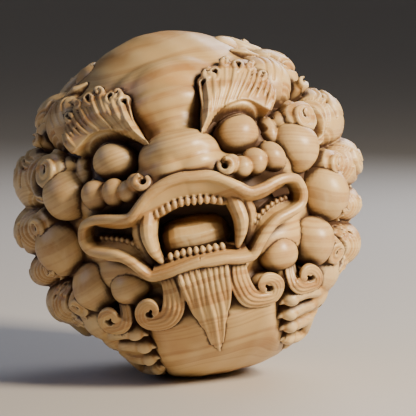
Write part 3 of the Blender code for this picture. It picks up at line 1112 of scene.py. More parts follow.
@dataclass
class Mouth:
    """The rim of the mouth, lips, gums, fangs, rows of small teeth and the tongue."""

    bench: Workbench
    rim_width: float = 0.026
    rim_crest: float = 0.958
    # Where the lips end towards the teeth and towards the rim, from the middle outwards
    upper_edge: Pairs = ((0.0, 0.045), (0.10, 0.031), (0.19, -0.006), (0.25, -0.040), (0.31, -0.066),
                         (0.41, -0.064), (0.52, -0.030))
    upper_outer: Pairs = ((0.0, 0.150), (0.110, 0.136), (0.200, 0.095), (0.275, 0.035), (0.340, -0.015),
                          (0.440, -0.008), (0.552, 0.011))
    lower_edge: Pairs = ((0.0, -0.284), (0.10, -0.290), (0.20, -0.298), (0.262, -0.300))
    lower_outer: Pairs = ((0.0, -0.328), (0.10, -0.340), (0.20, -0.352), (0.280, -0.358))
    corner_outer: Pairs = ((0.300, -0.350), (0.335, -0.310), (0.390, -0.250), (0.452, -0.205),
                           (0.522, -0.183), (0.590, -0.150), (0.618, -0.101))
    corner_edge: Pairs = ((0.270, -0.290), (0.300, -0.215), (0.345, -0.150), (0.410, -0.112),
                          (0.475, -0.092), (0.535, -0.082), (0.590, -0.070))
    tongue_left: float = -0.222
    tongue_right: float = 0.190

    def carve_side(self, carver: Carver, hand: Hand) -> None:
        """One half of the mouth, but for the teeth between the fangs.

        Args:
            carver: what takes it in.
            hand: the side it is on.
        """
        spot = picture(hand)
        wide = self.rim_width
        widths = (1.25 * wide, 1.1 * wide, wide, wide, 1.1 * wide)
        carver.lock(spot, MOUTH_RIM, widths, self.rim_crest, steps=4)
        # Each lip: its outer edge and lift, its inner edge and lift, thickness and bulge in mm
        lips = ((self.upper_outer, 0.938, self.upper_edge, 0.872, 2.2, 0.30),
                (self.lower_outer, 0.938, self.lower_edge, 0.890, 2.0, 0.25),
                (self.corner_outer, 0.925, self.corner_edge, 0.835, 2.6, 0.0))
        for outer, outer_lift, inner, inner_lift, thickness, bulge in lips:
            carver.slope(spot(*smooth_path(outer).T, outer_lift), spot(*smooth_path(inner).T, inner_lift),
                         thickness, bulge)
        inside = [(0.320, -0.320), (0.372, -0.262), (0.440, -0.222), (0.520, -0.196), (0.575, -0.160)]
        carver.lock(spot, inside, (0.012, 0.020, 0.020, 0.010), (0.925, 0.915, 0.915), steps=4)
        fang = [(0.232, 0.000), (0.256, -0.080), (0.266, -0.150), (0.250, -0.220), (0.212, -0.292)]
        carver.lock(spot, fang, (0.044, 0.038, 0.034, 0.028, 0.014), (0.895, 0.922, 0.935, 0.930, 0.905))
        gum = [(0.296, -0.040), (0.310, -0.120), (0.296, -0.210), (0.275, -0.290)]
        carver.lock(spot, gum, (0.036, 0.036, 0.040), (0.875, 0.865, 0.865))
        wall = [(0.30, -0.060), (0.37, -0.085), (0.44, -0.070)]
        carver.lock(spot, wall, (0.050, 0.046, 0.030), (0.800, 0.785, 0.760))
        row = smooth_path([(0.325, -0.182), (0.375, -0.140), (0.440, -0.112), (0.515, -0.094)], 5)
        carver.teeth(spot, row, 0.846, 8, (0.40, 0.60, 0.50))

    def carve_tongue(self, carver: Carver) -> None:
        """A broad tongue with a flat top that tips forward to a blunt front.

        Args:
            carver: what takes it in.
        """
        spot = picture()
        rings = []
        for share in np.linspace(-0.98, 0.98, 13):
            x = self.tongue_left + (self.tongue_right - self.tongue_left) * (share + 1) / 2
            plump = (1 - share**4) ** 0.5
            arch = 0.030 * plump - 0.015 * share
            outline = [(0.50, -0.085 + arch), (0.66, -0.102 + arch), (0.800, -0.138 + 0.6 * arch),
                       (0.832, -0.168), (0.838, -0.230), (0.815, -0.278), (0.60, -0.290), (0.45, -0.25)]
            ring = [spot(x, -0.19 + (z + 0.19) * plump, 0.60 + (lift - 0.60) * plump) for lift, z in outline]
            rings.append(np.array(ring))
        carver.loft(np.array(rings))

    def carve_front(self, carver: Carver) -> None:
        """Gums and the two rows of small teeth between the fangs.

        Args:
            carver: what takes them in.
        """
        spot = picture()
        upper = smooth_path([(-0.190, -0.014), (-0.10, 0.014), (-0.01, 0.022), (0.08, 0.014),
                             (0.165, -0.014)], 6)
        lower = smooth_path([(-0.160, -0.262), (-0.02, -0.254), (0.130, -0.266)], 6)
        carver.teeth(spot, upper - (0, 0.002), 0.870, 11, (0.42, 0.50, 0.70))
        carver.teeth(spot, lower - (0, 0.006), 0.872, 9, (0.42, 0.50, 0.66))
        carver.lock(spot, [(-0.22, -0.006), (0.0, 0.058), (0.20, -0.006)], 0.045, 0.868)
        carver.lock(spot, [(-0.23, -0.316), (0.0, -0.306), (0.21, -0.316)], 0.034, 0.885)

    def carve(self) -> bpy.types.Mesh:
        """Carves the whole mouth.

        Returns:
            One mesh.
        """
        carver = Carver("mouth_and_teeth", self.bench, 0.10, 110000, 1, core=0.46)
        for hand in Hand:
            self.carve_side(carver, hand)
        self.carve_front(carver)
        self.carve_tongue(carver)
        return carver.fuse()


@dataclass
class Beard:
    """The pointed tuft under the lip and two curled bundles on each side of it."""

    bench: Workbench
    tuft_strands: int = 9
    tuft_width: float = 0.122
    tuft_top: float = -0.345
    inner_root: Pairs = ((0.206, -0.345), (0.190, -0.400), (0.184, -0.465), (0.196, -0.530),
                         (0.222, -0.580), (0.268, -0.610))
    outer_root: Pairs = ((0.488, -0.370), (0.474, -0.440), (0.470, -0.510), (0.484, -0.566), (0.520, -0.600))
    # Half widths of a bundle's whole line, from its root to the middle of its curl
    inner_widths: Sequence[float] = (0.052, 0.058, 0.056, 0.048, 0.038, 0.028, 0.018, 0.010)
    outer_widths: Sequence[float] = (0.034, 0.040, 0.040, 0.036, 0.030, 0.022, 0.012)
    # Wood under each bundle's curl and the round button beside it: place, lift, radii and turn
    inner_mounds: Sequence[tuple[float, ...]] = ((0.300, -0.545, 0.865, 0.095, 0.090, 0.085, 0),
                                                 (0.366, -0.545, 0.935, 0.030, 0.032, 0.040, 0))
    outer_mounds: Sequence[tuple[float, ...]] = ((0.545, -0.535, 0.865, 0.085, 0.085, 0.080, 0),
                                                 (0.592, -0.535, 0.930, 0.026, 0.030, 0.038, 0))

    def carve_tuft(self, carver: Carver) -> None:
        """Strands that run down side by side and end one after the other towards the tip.

        Args:
            carver: what takes them in.
        """
        spot = picture()
        for strand in range(self.tuft_strands):
            side = 2 * strand / (self.tuft_strands - 1) - 1
            reach = 1 - 0.36 * side**2 - 0.03 * (strand % 2)
            x = self.tuft_width * side
            top = self.tuft_top
            line = [(1.10 * x, -0.330), (1.04 * x, top - 0.12 * reach), (0.94 * x, top - 0.27 * reach),
                    (0.74 * x - 0.002, top - 0.40 * reach), (0.46 * x - 0.006, top - 0.485 * reach)]
            wide = 0.0172 - 0.0012 * abs(side)
            high = 0.988 - 0.014 * abs(side) - 0.006 * (strand % 2)
            carver.lock(spot, line, (wide, wide, 0.92 * wide, 0.76 * wide, 0.42 * wide),
                        (0.935, 0.972, high, high, high - 0.012))
        carver.lock(spot, [(0.0, -0.36), (0.0, -0.46), (0.0, -0.56), (0.0, -0.66)],
                    (0.125, 0.100, 0.062, 0.020), (0.915, 0.938, 0.948, 0.945))

    def carve(self) -> bpy.types.Mesh:
        """Carves the whole beard.

        Returns:
            One mesh.
        """
        carver = Carver("beard", self.bench, 0.095, 110000, 1, core=0.78)
        self.carve_tuft(carver)
        for hand in Hand:
            spot = picture(hand)
            carver.curl(spot, self.inner_root, (0.332, -0.552), 0.062, 280, 330, self.inner_widths, 0.982, 5,
                        0.022, 0.70, 0.070)
            carver.eggs(spot, self.inner_mounds, hand)
            carver.curl(spot, self.outer_root, (0.562, -0.545), 0.052, 290, 300, self.outer_widths, 0.978, 4,
                        0.022, 0.66, 0.130)
            carver.eggs(spot, self.outer_mounds, hand)
        return carver.fuse()


@dataclass
class SideMane:
    """The full locks beside one side of the face: smooth eggs with a drilled swirl at the front end."""

    bench: Workbench
    hand: Hand
    # Full locks from the brow down to the jaw: longitude, latitude, radii across, up and out, crest, turn
    full_locks: Sequence[tuple[float, ...]] = (
        (58, 42, 0.175, 0.175, 0.170, 0.968, 20), (78, 45, 0.200, 0.185, 0.170, 0.980, 0),
        (81, 21, 0.270, 0.190, 0.185, 0.990, 0), (84, 2, 0.260, 0.150, 0.180, 0.990, 0),
        (82, -13, 0.230, 0.105, 0.150, 0.968, 0), (78, -27, 0.240, 0.135, 0.165, 0.990, 0),
        (68, 63, 0.130, 0.080, 0.080, 0.956, 0), (64, -33, 0.120, 0.090, 0.110, 0.960, 0))
    # Swirls at their front ends: longitude, latitude, reach, start, sweep
    swirls: Sequence[tuple[float, ...]] = (
        (53, 21, 0.105, 120, -420), (61, 3, 0.092, 100, -400), (61, -12, 0.070, 260, 400),
        (57, -26, 0.085, 80, -400), (68, 33, 0.044, 60, -380))
    # The angles of the dark corners beside a swirl, and how far outside it the strand lines run
    corners: Sequence[float] = (5, 190)
    strand_lines: Sequence[float] = (0.095, 0.130, 0.165)
    # How far each crease of the uppermost lock and each strand line of the jaw's locks lies from the first
    creases: Sequence[float] = (0.0, 0.034, 0.070)
    jaw_strands: Sequence[float] = (0.0, 0.026, 0.052)
    # Spirals on their sides: latitude, reach, start, sweep
    spirals: Sequence[tuple[float, ...]] = (
        (45, 0.150, 160, 640), (21, 0.158, 200, -640), (2, 0.122, 160, 600), (-13, 0.080, 200, -560),
        (-27, 0.110, 160, 600))

    def carve_swirls(self, carver: Carver) -> None:
        """The swirl at the front end of each full lock, its drilled middle, dark corners and strand lines.

        Args:
            carver: what takes them in.
        """
        for longitude, latitude, reach, start, sweep in self.swirls:
            spot = on_ball(longitude, latitude, self.hand)
            widths = [reach * share for share in (0.20, 0.36, 0.42, 0.40, 0.30, 0.18)]
            carver.egg(spot(0, 0, 0.872), (1.05 * reach, 1.05 * reach, 0.075))
            carver.curl(spot, [], (0.0, 0.0), reach, start, sweep, widths, 0.958, 2, 0.22 * reach, 0.85,
                        0.06, 0.022)
            for middle in self.corners:
                corner = arc((0.0, 0.0), (1.32 * reach, 1.24 * reach), middle - 70, middle + 70, 36)
                carver.gouge(spot, corner, 0.95, 0.32 * reach, 0.072)
            for far in self.strand_lines:
                strand = arc((0.0, 0.0), (reach + far, 0.9 * (reach + far)), -80, 80, 48)
                carver.gouge(spot, strand, 0.96, 0.013, 0.014)

    def carve_grooves(self, carver: Carver) -> None:
        """Spirals on the full locks, and fine strand lines on those of the jaw.

        Args:
            carver: what cuts them.
        """
        for latitude, reach, start, sweep in self.spirals:
            spot = on_ball(86, latitude, self.hand)
            line = smooth_path(spiral((0.0, 0.0), reach, start, sweep, 0.88), 12) * (1.45, 1.0)
            carver.gouge(spot, line, 0.96, 0.020, 0.026)
            carver.drill(spot(0.0, 0.0, 0.96), 0.020, 0.05)
        spot = brim(self.hand)
        for shift in self.jaw_strands:
            line = smooth_path([(0.745 + shift, -0.232 - shift), (0.800 + shift, -0.285 - shift),
                                (0.868, -0.318 - shift)], 16)
            carver.gouge(spot, line, 0.96, 0.011, 0.016)

    def carve_top(self, carver: Carver) -> None:
        """Creases on the uppermost lock, the flap over it, and the fan and under lock beside the cheek.

        Args:
            carver: what takes them in.
        """
        spot = brim(self.hand)
        for shift in self.creases:
            line = smooth_path([(0.540 + shift, 0.750 - 0.4 * shift), (0.578 + shift, 0.690 - 0.4 * shift),
                                (0.592 + shift, 0.610 - 0.3 * shift)], 12)
            carver.gouge(spot, line, 0.955, 0.011, 0.007)
        flap = [(0.425, 0.815), (0.500, 0.780), (0.570, 0.760)]
        carver.lock(spot, flap, (0.012, 0.026, 0.012), (0.930, 0.955, 0.930))
        fan = [(0.640, 0.395), (0.715, 0.408), (0.790, 0.385), (0.828, 0.315), (0.826, 0.230),
               (0.800, 0.150)]
        carver.lock(spot, fan, (0.016, 0.032, 0.042, 0.044, 0.036, 0.014),
                    (0.890, 0.945, 0.960, 0.962, 0.950, 0.900), 4)
        under = [(0.655, -0.455), (0.720, -0.502), (0.790, -0.520), (0.850, -0.500)]
        carver.lock(spot, under, (0.026, 0.044, 0.046, 0.022), (0.890, 0.955, 0.960, 0.920), 3)

    def carve(self) -> bpy.types.Mesh:
        """Carves one side's locks.

        Returns:
            One mesh.
        """
        carver = Carver(f"mane_{self.hand.name.lower()}", self.bench, 0.125, 120000, 1, core=0.74)
        for longitude, latitude, *radii, crest, turn in self.full_locks:
            middle = on_ball(longitude, latitude, self.hand)(0, 0, crest - radii[2])
            carver.egg(middle, radii, turn * self.hand.value)
        self.carve_top(carver)
        self.carve_swirls(carver)
        self.carve_grooves(carver)
        return carver.fuse()


@dataclass
class BackMane:
    """Rows of plainer snail curls round the back of the head."""

    bench: Workbench
    # Each row's latitude, its curls' longitudes on one side, and their reach
    rows: Sequence[tuple[float, Sequence[float], float]] = (
        (74, (180,), 0.150), (60, (108, 146), 0.160), (38, (118, 144, 169), 0.158),
        (14, (119, 143, 167), 0.165), (-9, (113, 136, 158), 0.162), (-30, (107, 130), 0.145))

    def carve(self) -> bpy.types.Mesh:
        """Carves all the rows, each wound the other way from the one above.

        Returns:
            One mesh.
        """
        carver = Carver("mane_back", self.bench, 0.15, 120000, 1, core=0.76)
        for hand in Hand:
            turn = 1
            for latitude, longitudes, reach in self.rows:
                widths = [reach * share for share in (0.14, 0.30, 0.36, 0.36, 0.30, 0.18)]
                for longitude in longitudes:
                    spot = on_ball(longitude, latitude, hand)
                    carver.egg(spot(0, 0, 0.83), (1.30 * reach, 1.30 * reach, 0.105))
                    carver.curl(spot, [], (0.0, 0.0), 1.15 * reach, 90, 600 * turn, widths, 0.958, 2,
                                0.13 * reach, 0.86, 0.09, 0.022)
                turn = -turn
        return carver.fuse()


@dataclass
class Limbs:
    """Forelegs and paws under the chin, haunches and hind paws behind, and the flame of a tail."""

    bench: Workbench
    # Toes of a forepaw, one over the other, from the wrist to the claw
    toes: Sequence[Pairs] = (
        ((0.625, -0.660), (0.555, -0.646), (0.485, -0.652), (0.428, -0.672)),
        ((0.600, -0.705), (0.530, -0.718), (0.460, -0.732), (0.396, -0.745)),
        ((0.570, -0.748), (0.510, -0.782), (0.445, -0.803), (0.380, -0.810)),
        ((0.535, -0.790), (0.475, -0.842), (0.410, -0.868), (0.350, -0.866)))
    # Shoulder, wrist and the back of the paw: place, lift, radii and turn
    foreleg: Sequence[tuple[float, ...]] = (
        (0.690, -0.590, 0.800, 0.150, 0.170, 0.165, -20), (0.600, -0.695, 0.810, 0.140, 0.125, 0.155, 30),
        (0.495, -0.765, 0.812, 0.150, 0.125, 0.128, 0))
    # The tail's middle leaf, and the two beside it on each side: places from the root to the tip
    flame: Pairs = ((0.0, -0.60), (0.035, -0.36), (-0.026, -0.10), (0.026, 0.18), (-0.014, 0.40),
                    (0.030, 0.54))
    inner_leaf: Pairs = ((0.08, -0.56), (0.15, -0.38), (0.20, -0.16), (0.23, 0.04), (0.31, 0.20))
    outer_leaf: Pairs = ((0.14, -0.54), (0.27, -0.42), (0.36, -0.26), (0.41, -0.12), (0.51, 0.0))

    def carve_fore(self, carver: Carver, hand: Hand) -> None:
        """A foreleg and its four toes, one over the other, each with a claw.

        Args:
            carver: what takes it in.
            hand: the side it is on.
        """
        spot = brim(hand)
        carver.eggs(spot, self.foreleg, hand)
        carver.drill(spot(0.583, -0.715, 0.95), 0.014, 0.05)
        for toe in self.toes:
            (x, z), (inner_x, inner_z) = toe[-1], toe[-2]
            carver.lock(spot, toe, (0.036, 0.040, 0.042, 0.036), (0.950, 0.972, 0.978, 0.968), steps=4)
            knuckle = spot(0.55 * x + 0.45 * inner_x, 0.55 * z + 0.45 * inner_z, 0.926)
            carver.egg(knuckle, (0.052, 0.044, 0.060))
            claw = [(x + 0.010, z), (x - 0.022, z - 0.004), (x - 0.042, z - 0.020)]
            carver.lock(spot, claw, (0.022, 0.018, 0.007), (0.958, 0.955, 0.940))

    def carve_hind(self, carver: Carver, hand: Hand) -> None:
        """A folded haunch with a shallow swirl, and the toes of the hind paw.

        Args:
            carver: what takes it in.
            hand: the side it is on.
        """
        carver.egg(on_ball(138, -48, hand)(0, 0, 0.72), (0.330, 0.270, 0.240), 25 * hand.value)
        line = smooth_path(spiral((0.0, 0.0), 0.17, 200, 600, 0.85), 4)
        carver.gouge(on_ball(136, -44, hand), line, 0.95, 0.020, 0.020)
        carver.egg(on_ball(116, -55, hand)(0, 0, 0.77), (0.190, 0.140, 0.150), -10 * hand.value)
        for step in range(4):
            place = on_ball(74 + 9 * step, -61 - 3 * step, hand)
            carver.egg(place(0, 0, 0.900), (0.048, 0.085, 0.062))
            carver.egg(place(0.0, -0.075, 0.915), (0.036, 0.040, 0.045))

    def carve_tail(self, carver: Carver) -> None:
        """A flame up the back: five tapered leaves of hair that fan out over a low mass.

        Args:
            carver: what takes it in.
        """
        spot = on_ball(180, -30)
        carver.egg(spot(0, -0.14, 0.775), (0.400, 0.470, 0.130))
        carver.lock(spot, self.flame, (0.06, 0.11, 0.130, 0.110, 0.070, 0.008),
                    (0.925, 0.965, 0.982, 0.982, 0.974, 0.955), 6)
        for hand in Hand:
            for leaf, crest in ((self.inner_leaf, 0.968), (self.outer_leaf, 0.966)):
                carver.lock(spot, [(hand.value * x, z) for x, z in leaf], (0.04, 0.085, 0.095, 0.070, 0.008),
                            (crest - 0.045, crest, crest, crest, crest - 0.015), 5)

    def carve(self) -> bpy.types.Mesh:
        """Carves paws, haunches and tail.

        Returns:
            One mesh.
        """
        carver = Carver("paws_and_tail", self.bench, 0.15, 80000, 1, core=0.78)
        for hand in Hand:
            self.carve_fore(carver, hand)
            self.carve_hind(carver, hand)
        self.carve_tail(carver)
        return carver.fuse()


def linear(colour: str) -> tuple[float, float, float, float]:
    """Turns an sRGB colour to linear values.

    Args:
        colour: its hex value.

    Returns:
        Red, green, blue and full alpha.
    """
    shares = [int(colour[at:at + 2], 16) / 255 for at in (1, 3, 5)]
    values = [s / 12.92 if s <= 0.04045 else ((s + 0.055) / 1.055) ** 2.4 for s in shares]
    return (*values, 1.0)


@dataclass(frozen=True)
class Boxwood:
    """Boxwood, carved with knives, oiled and rubbed by hand.

    To the eye: dense, almost without pores, pale yellow-tan, with fine orange growth bands, a silky
    shine on rubbed ridges, which are paled by rubbing and by painted highlight, and dark brown oil and
    painted shade in the cuts.
    """

    pale: str = "#D2AE72"
    band: str = "#A26C34"
    blotch: str = "#C0945A"
    # Pale of ridges rubbed by hand and of painted highlight on them
    rub_and_highlight_colour: str = "#E4CE9E"
    # Deep brown of oil in the cuts and of painted shade in the recesses
    stain_and_shade: str = "#3E2110"
    # Growth bands are about 0.8 mm wide, dark and light. Boxwood's fibres are about 0.03 mm wide, too fine
    # to show, so they are drawn coarser, as streaks of 0.35 mm
    band_width: float = 0.8
    streak_width: float = 0.35
    blotch_width: float = 8.0
    # Where the rings' middle lies, seen from the ball's centre, how far the rings wander, both in mm, and
    # how often in a mm
    pith: tuple[float, float, float] = (4.0, 10.0, -42.0)
    wander: float = 5.0
    wander_scale: float = 0.07
    # Values of the noise between which a band or a blotch comes in, and how strong a band is
    band_edge: tuple[float, float] = (0.46, 0.64)
    band_strength: float = 0.58
    blotch_edge: tuple[float, float] = (0.42, 0.66)
    # How far a ridge stands out, in mm, where it begins to be paled by rubbing and painted highlight and
    # where it is fully paled, and how strongly
    rub_and_highlight_edge: tuple[float, float] = (0.01, 0.06)
    rub_and_highlight_strength: float = 0.5
    # How shut in a point is where oil and painted shade begin to darken it and where it is darkest, and how
    # dark that is
    oil_and_shade_edge: tuple[float, float] = (0.07, 0.46)
    oil_and_shade_strength: float = 0.94
    # The silky shine of wood rubbed by hand, its change from fibre to fibre, and how much duller oil is
    refraction: float = 1.5
    roughness: float = 0.36
    fibre_shine: tuple[float, float] = (-0.06, 0.10)
    oil_dullness: float = 0.25
    # How far a fibre stands out, in mm, and how strongly that shows
    fibre_height: float = 0.02
    fibre_strength: float = 0.12

    def build(self) -> bpy.types.Material:
        """Makes the material.

        Returns:
            The material, which reads the wear that is stored on each point.
        """
        wood = bpy.data.materials.new("boxwood")
        wood.use_nodes = True
        tree = wood.node_tree
        shader = tree.nodes["Principled BSDF"]
        shader.inputs["IOR"].default_value = self.refraction
        shader.inputs["Metallic"].default_value = 0.0
        coords = add_node(tree, "ShaderNodeTexCoord").outputs["Object"]
        # Metres to millimetres, turned upright with the growth rings' middle at the pith
        upright = add_node(tree, "ShaderNodeMapping", {"vector_type": "POINT"},
                           {"Vector": coords, "Scale": (1 / MM,) * 3,
                            "Rotation": (math.radians(HEAD_PITCH), math.radians(HEAD_ROLL), 0),
                            "Location": tuple(-v for v in self.pith)}).outputs[0]
        wander = add_node(tree, "ShaderNodeTexNoise", {"noise_dimensions": "3D"},
                          {"Vector": upright, "Scale": self.wander_scale, "Detail": 1.0,
                           "Roughness": 0.4}).outputs[0]
        # Rings round the pith, four times as long from front to back as across
        flat = add_node(tree, "ShaderNodeVectorMath", {"operation": "MULTIPLY"},
                        {0: upright, 1: (1.0, 0.25, 1.0)})
        ring = add_node(tree, "ShaderNodeVectorMath", {"operation": "LENGTH"}, {0: flat.outputs[0]})
        bent = add_node(tree, "ShaderNodeMath", {"operation": "MULTIPLY_ADD"},
                        {0: wander, 1: self.wander, 2: ring.outputs["Value"]}).outputs[0]
        bands = add_node(tree, "ShaderNodeTexNoise", {"noise_dimensions": "1D"},
                         {"W": bent, "Scale": 0.5 / self.band_width, "Detail": 3.0, "Roughness": 0.6})
        lines = add_node(tree, "ShaderNodeMapRange", {"interpolation_type": "SMOOTHSTEP"},
                         {"Value": bands.outputs[0], "From Min": self.band_edge[0],
                          "From Max": self.band_edge[1]})
        where = add_node(tree, "ShaderNodeTexNoise", {},
                         {"Vector": upright, "Scale": 1 / self.blotch_width, "Detail": 2.0})
        patch = add_node(tree, "ShaderNodeMapRange", {"interpolation_type": "SMOOTHSTEP"},
                         {"Value": where.outputs[0], "From Min": self.blotch_edge[0],
                          "From Max": self.blotch_edge[1]})
        mottled = add_node(tree, "ShaderNodeMix", {"data_type": "RGBA"},
                           {0: patch.outputs[0], 6: linear(self.pale), 7: linear(self.blotch)})
        strength = add_node(tree, "ShaderNodeMath", {"operation": "MULTIPLY"},
                            {0: lines.outputs[0], 1: self.band_strength})
        grained = add_node(tree, "ShaderNodeMix", {"data_type": "RGBA"},
                           {0: strength.outputs[0], 6: mottled.outputs[2], 7: linear(self.band)})
        # Rubbed wear and painted highlight: ridges that stand proud are paled
        ridge = add_node(tree, "ShaderNodeAttribute", {"attribute_name": Wood.RIDGE.value}).outputs["Fac"]
        wear_and_painted_light = add_node(tree, "ShaderNodeMapRange", {},
                        {"Value": ridge, "From Min": self.rub_and_highlight_edge[0], "From Max": self.rub_and_highlight_edge[1],
                         "To Max": self.rub_and_highlight_strength})
        rubbed_and_highlit = add_node(tree, "ShaderNodeMix", {"data_type": "RGBA"},
                            {0: wear_and_painted_light.outputs[0], 6: grained.outputs[2], 7: linear(self.rub_and_highlight_colour)})
        # Painted shade and oil: wood that is shut in is darkened to deep brown
        recess = add_node(tree, "ShaderNodeAttribute", {"attribute_name": Wood.RECESS.value}).outputs["Fac"]
        oil_and_shade = add_node(tree, "ShaderNodeMapRange", {"interpolation_type": "SMOOTHSTEP"},
                       {"Value": recess, "From Min": self.oil_and_shade_edge[0], "From Max": self.oil_and_shade_edge[1],
                        "To Max": self.oil_and_shade_strength})
        colour = add_node(tree, "ShaderNodeMix", {"data_type": "RGBA"},
                          {0: oil_and_shade.outputs[0], 6: rubbed_and_highlit.outputs[2], 7: linear(self.stain_and_shade)})
        tree.links.new(colour.outputs[2], shader.inputs["Base Color"])
        # Level streaks, four times as long as they are wide
        fibres = add_node(tree, "ShaderNodeVectorMath", {"operation": "MULTIPLY"},
                          {0: upright, 1: (0.25, 0.25, 1.0)})
        streaks = add_node(tree, "ShaderNodeTexNoise", {},
                           {"Vector": fibres.outputs[0], "Scale": 1 / self.streak_width, "Detail": 3.0})
        shine = add_node(tree, "ShaderNodeMapRange", {},
                         {"Value": streaks.outputs[0], "To Min": self.roughness + self.fibre_shine[0],
                          "To Max": self.roughness + self.fibre_shine[1]})
        dull = add_node(tree, "ShaderNodeMath", {"operation": "MULTIPLY_ADD"},
                        {0: oil_and_shade.outputs[0], 1: self.oil_dullness, 2: shine.outputs[0]})
        tree.links.new(dull.outputs[0], shader.inputs["Roughness"])
        bump = add_node(tree, "ShaderNodeBump", {},
                        {"Height": streaks.outputs[0], "Strength": self.fibre_strength,
                         "Distance": self.fibre_height * MM})
        tree.links.new(bump.outputs[0], shader.inputs["Normal"])
        return wood


def hand_warp(places: np.ndarray) -> np.ndarray:
    """Moves points by a fraction of a millimetre, so that no curl matches its mirror image.

    Args:
        places: points in mm with the head upright.

    Returns:
        The moved points.
    """
    x, y, z = places.T
    return places + np.stack([
        0.16 * np.sin(0.31 * y + 0.23 * z + 1.1) + 0.05 * np.sin(1.1 * z - 0.9 * x),
        0.10 * np.sin(0.37 * x - 0.29 * z + 0.4),
        0.18 * np.sin(0.27 * x + 0.19 * y + 2.0) + 0.05 * np.sin(1.3 * x + 0.7 * y),
    ], axis=1)


def laid_down(places: np.ndarray) -> np.ndarray:
    """Points in mm turned, lifted and scaled as the ball lies, kept inside the frame's box.

    Args:
        places: points with the head upright.

    Returns:
        The points in metres in the frame.
    """
    roll = Matrix.Rotation(math.radians(-HEAD_ROLL), 4, "Y")
    lie = Matrix.Rotation(math.radians(-HEAD_PITCH), 4, "X") @ roll
    turned = places @ np.array(lie.to_3x3()).T + np.array(CENTRE)
    low, high = (np.array(corner) / MM for corner in CAD_BOX)
    # In mm: the depth over which what stands out of the box is eased in, and the gap that is left
    soft, gap = 0.5, 0.02
    for axis in range(3):
        over = turned[:, axis] - (high[axis] - gap - soft)
        turned[:, axis] -= np.where(over > 0, over - soft * (1 - np.exp(-over / soft)), 0)
        under = (low[axis] + gap + soft) - turned[:, axis]
        if axis < 2:
            turned[:, axis] += np.where(under > 0, under - soft * (1 - np.exp(-under / soft)), 0)
    turned[:, 2] = np.maximum(turned[:, 2], low[2])
    return turned * MM


def dress(meshes: list[bpy.types.Mesh], bench: Workbench) -> list[bpy.types.Object]:
    """Finds the wear, the painted shade and the painted highlight on all the pieces together and lays them
    down.

    Args:
        meshes: the pieces in mm, with the head upright.
        bench: the trees and the wood.

    Returns:
        The pieces as objects in the frame.
    """
    for mesh in meshes:
        set_points(mesh, hand_warp(points_of(mesh)))
        mesh.shade_smooth()
    shape = bmesh.new()
    for mesh in meshes:
        shape.from_mesh(mesh)
    whole = placed("everything", made("everything", shape))
    pieces = []
    for mesh in meshes:
        wear_and_painted_light = run_tree(mesh, bench.wear, {"Material": bench.wood, "Carving": whole})
        set_points(wear_and_painted_light, laid_down(points_of(wear_and_painted_light)))
        wear_and_painted_light.shade_smooth()
        piece = placed(mesh.name, wear_and_painted_light)
        piece.name = mesh.name.split(".")[0]
        pieces.append(piece)
        log.info("%s: %d triangles", piece.name, sum(len(p.vertices) - 2 for p in wear_and_painted_light.polygons))
    bpy.data.objects.remove(whole)
    return pieces


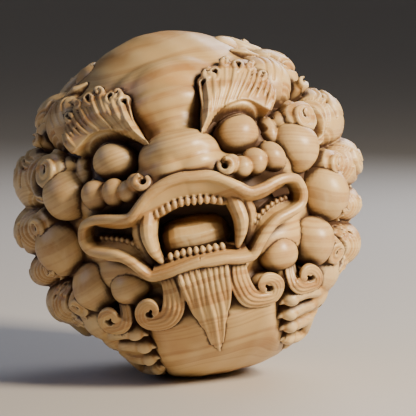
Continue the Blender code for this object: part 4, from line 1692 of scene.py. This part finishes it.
@dataclass
class Studio:
    """A pale floor, soft lights and the camera at the picture's viewing angle."""

    floor_colour: str = "#BFBAB2"
    world_colour: str = "#C2C8DA"
    world_strength: float = 0.10
    # Each lamp's name, its place from the ball's middle and its side in metres, its watts and its colour
    lamps: Sequence[tuple[str, tuple[float, float, float], float, float, str]] = (
        ("key", (0.24, -0.15, 0.17), 0.09, 2.5, "#FFEED6"),
        ("fill", (-0.24, -0.06, 0.16), 0.22, 0.18, "#B8CCFF"),
        ("rim", (0.12, 0.24, 0.16), 0.18, 0.6, "#EEF2FF"))
    # The camera's height in degrees and its sensor in mm, and in pixels the picture's side, the ball's
    # middle in it and the ball's radius
    elevation: float = 6.0
    sensor: float = 36.0
    image_side: float = 416.0
    ball_middle: tuple[float, float] = (189.0, 203.0)
    ball_pixels: float = 181.0

    def light(self, name: str, way: tuple[float, float, float], size: float, power: float,
              colour: str) -> None:
        """A soft area light aimed at the ball's middle.

        Args:
            name: its name.
            way: its place from the ball's middle, in metres.
            size: the length of its side, in metres.
            power: its power in watts.
            colour: its sRGB hex colour.
        """
        lamp = bpy.data.lights.new(name, "AREA")
        lamp.energy = power
        lamp.size = size
        lamp.color = linear(colour)[:3]
        obj = placed(name, lamp)
        obj.location = CENTRE * MM + Vector(way)
        obj.rotation_euler = (-Vector(way)).to_track_quat("-Z", "Y").to_euler()

    def floor(self) -> None:
        """A plain pale floor that curves up far behind the ball."""
        shape = bmesh.new()
        run = smooth_path([(-0.9, 0.0), (0.0, 0.0), (0.9, 0.0), (1.25, 0.08), (1.4, 0.4), (1.42, 1.4)], 6)
        rows = [[shape.verts.new((x, y, z)) for x in (-2.0, 2.0)] for y, z in run]
        for row, after in zip(rows, rows[1:]):
            shape.faces.new((row[0], row[1], after[1], after[0]))
        mesh = made("floor", shape)
        mesh.shade_smooth()
        paint = bpy.data.materials.new("plain floor")
        paint.use_nodes = True
        shader = paint.node_tree.nodes["Principled BSDF"]
        shader.inputs["Base Color"].default_value = linear(self.floor_colour)
        shader.inputs["Roughness"].default_value = 0.8
        mesh.materials.append(paint)
        obj = placed("floor", mesh)

    def camera(self) -> None:
        """The camera, straight in front of the lion and a little above it."""
        distance = CAMERA_AWAY * RADIUS * MM
        rise = math.radians(self.elevation)
        away = Vector((0, -math.cos(rise), math.sin(rise))) * distance
        edge = math.tan(math.asin(1 / CAMERA_AWAY))
        half = self.image_side / 2 / self.ball_pixels * edge
        lens = bpy.data.cameras.new("camera")
        lens.sensor_width = self.sensor
        lens.lens = self.sensor / 2 / half
        lens.clip_start = 0.01
        lens.shift_x = (self.image_side / 2 - self.ball_middle[0]) / self.image_side
        lens.shift_y = -(self.image_side / 2 - self.ball_middle[1]) / self.image_side
        obj = placed("camera", lens)
        obj.location = CENTRE * MM + away
        obj.rotation_euler = (-away).to_track_quat("-Z", "Y").to_euler()
        bpy.context.scene.camera = obj

    def build(self) -> None:
        """Sets up everything around the ball."""
        self.floor()
        for lamp in self.lamps:
            self.light(*lamp)
        world = bpy.data.worlds.new("studio")
        world.use_nodes = True
        world.node_tree.nodes["Background"].inputs["Color"].default_value = linear(self.world_colour)
        world.node_tree.nodes["Background"].inputs["Strength"].default_value = self.world_strength
        bpy.context.scene.world = world
        self.camera()


def main() -> None:
    """Carves every region, dresses the pieces and sets up the studio."""
    logging.basicConfig(level=logging.INFO, format="%(message)s")
    bench = Workbench(Boxwood().build(), StrandTree().build(), TeethTree().build(), LightAndWearTree().build())
    makers = [Block(bench), Face(bench), Mouth(bench), Beard(bench), SideMane(bench, Hand.RIGHT),
              SideMane(bench, Hand.LEFT), BackMane(bench), Limbs(bench)]
    meshes = []
    for maker in makers:
        meshes.append(maker.carve())
        log.info("carved %s", meshes[-1].name)
    pieces = dress(meshes, bench)
    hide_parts("carved_ball")
    for piece in pieces:
        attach(piece, "root")
    Studio().build()


if __name__ == "__main__":
    main()
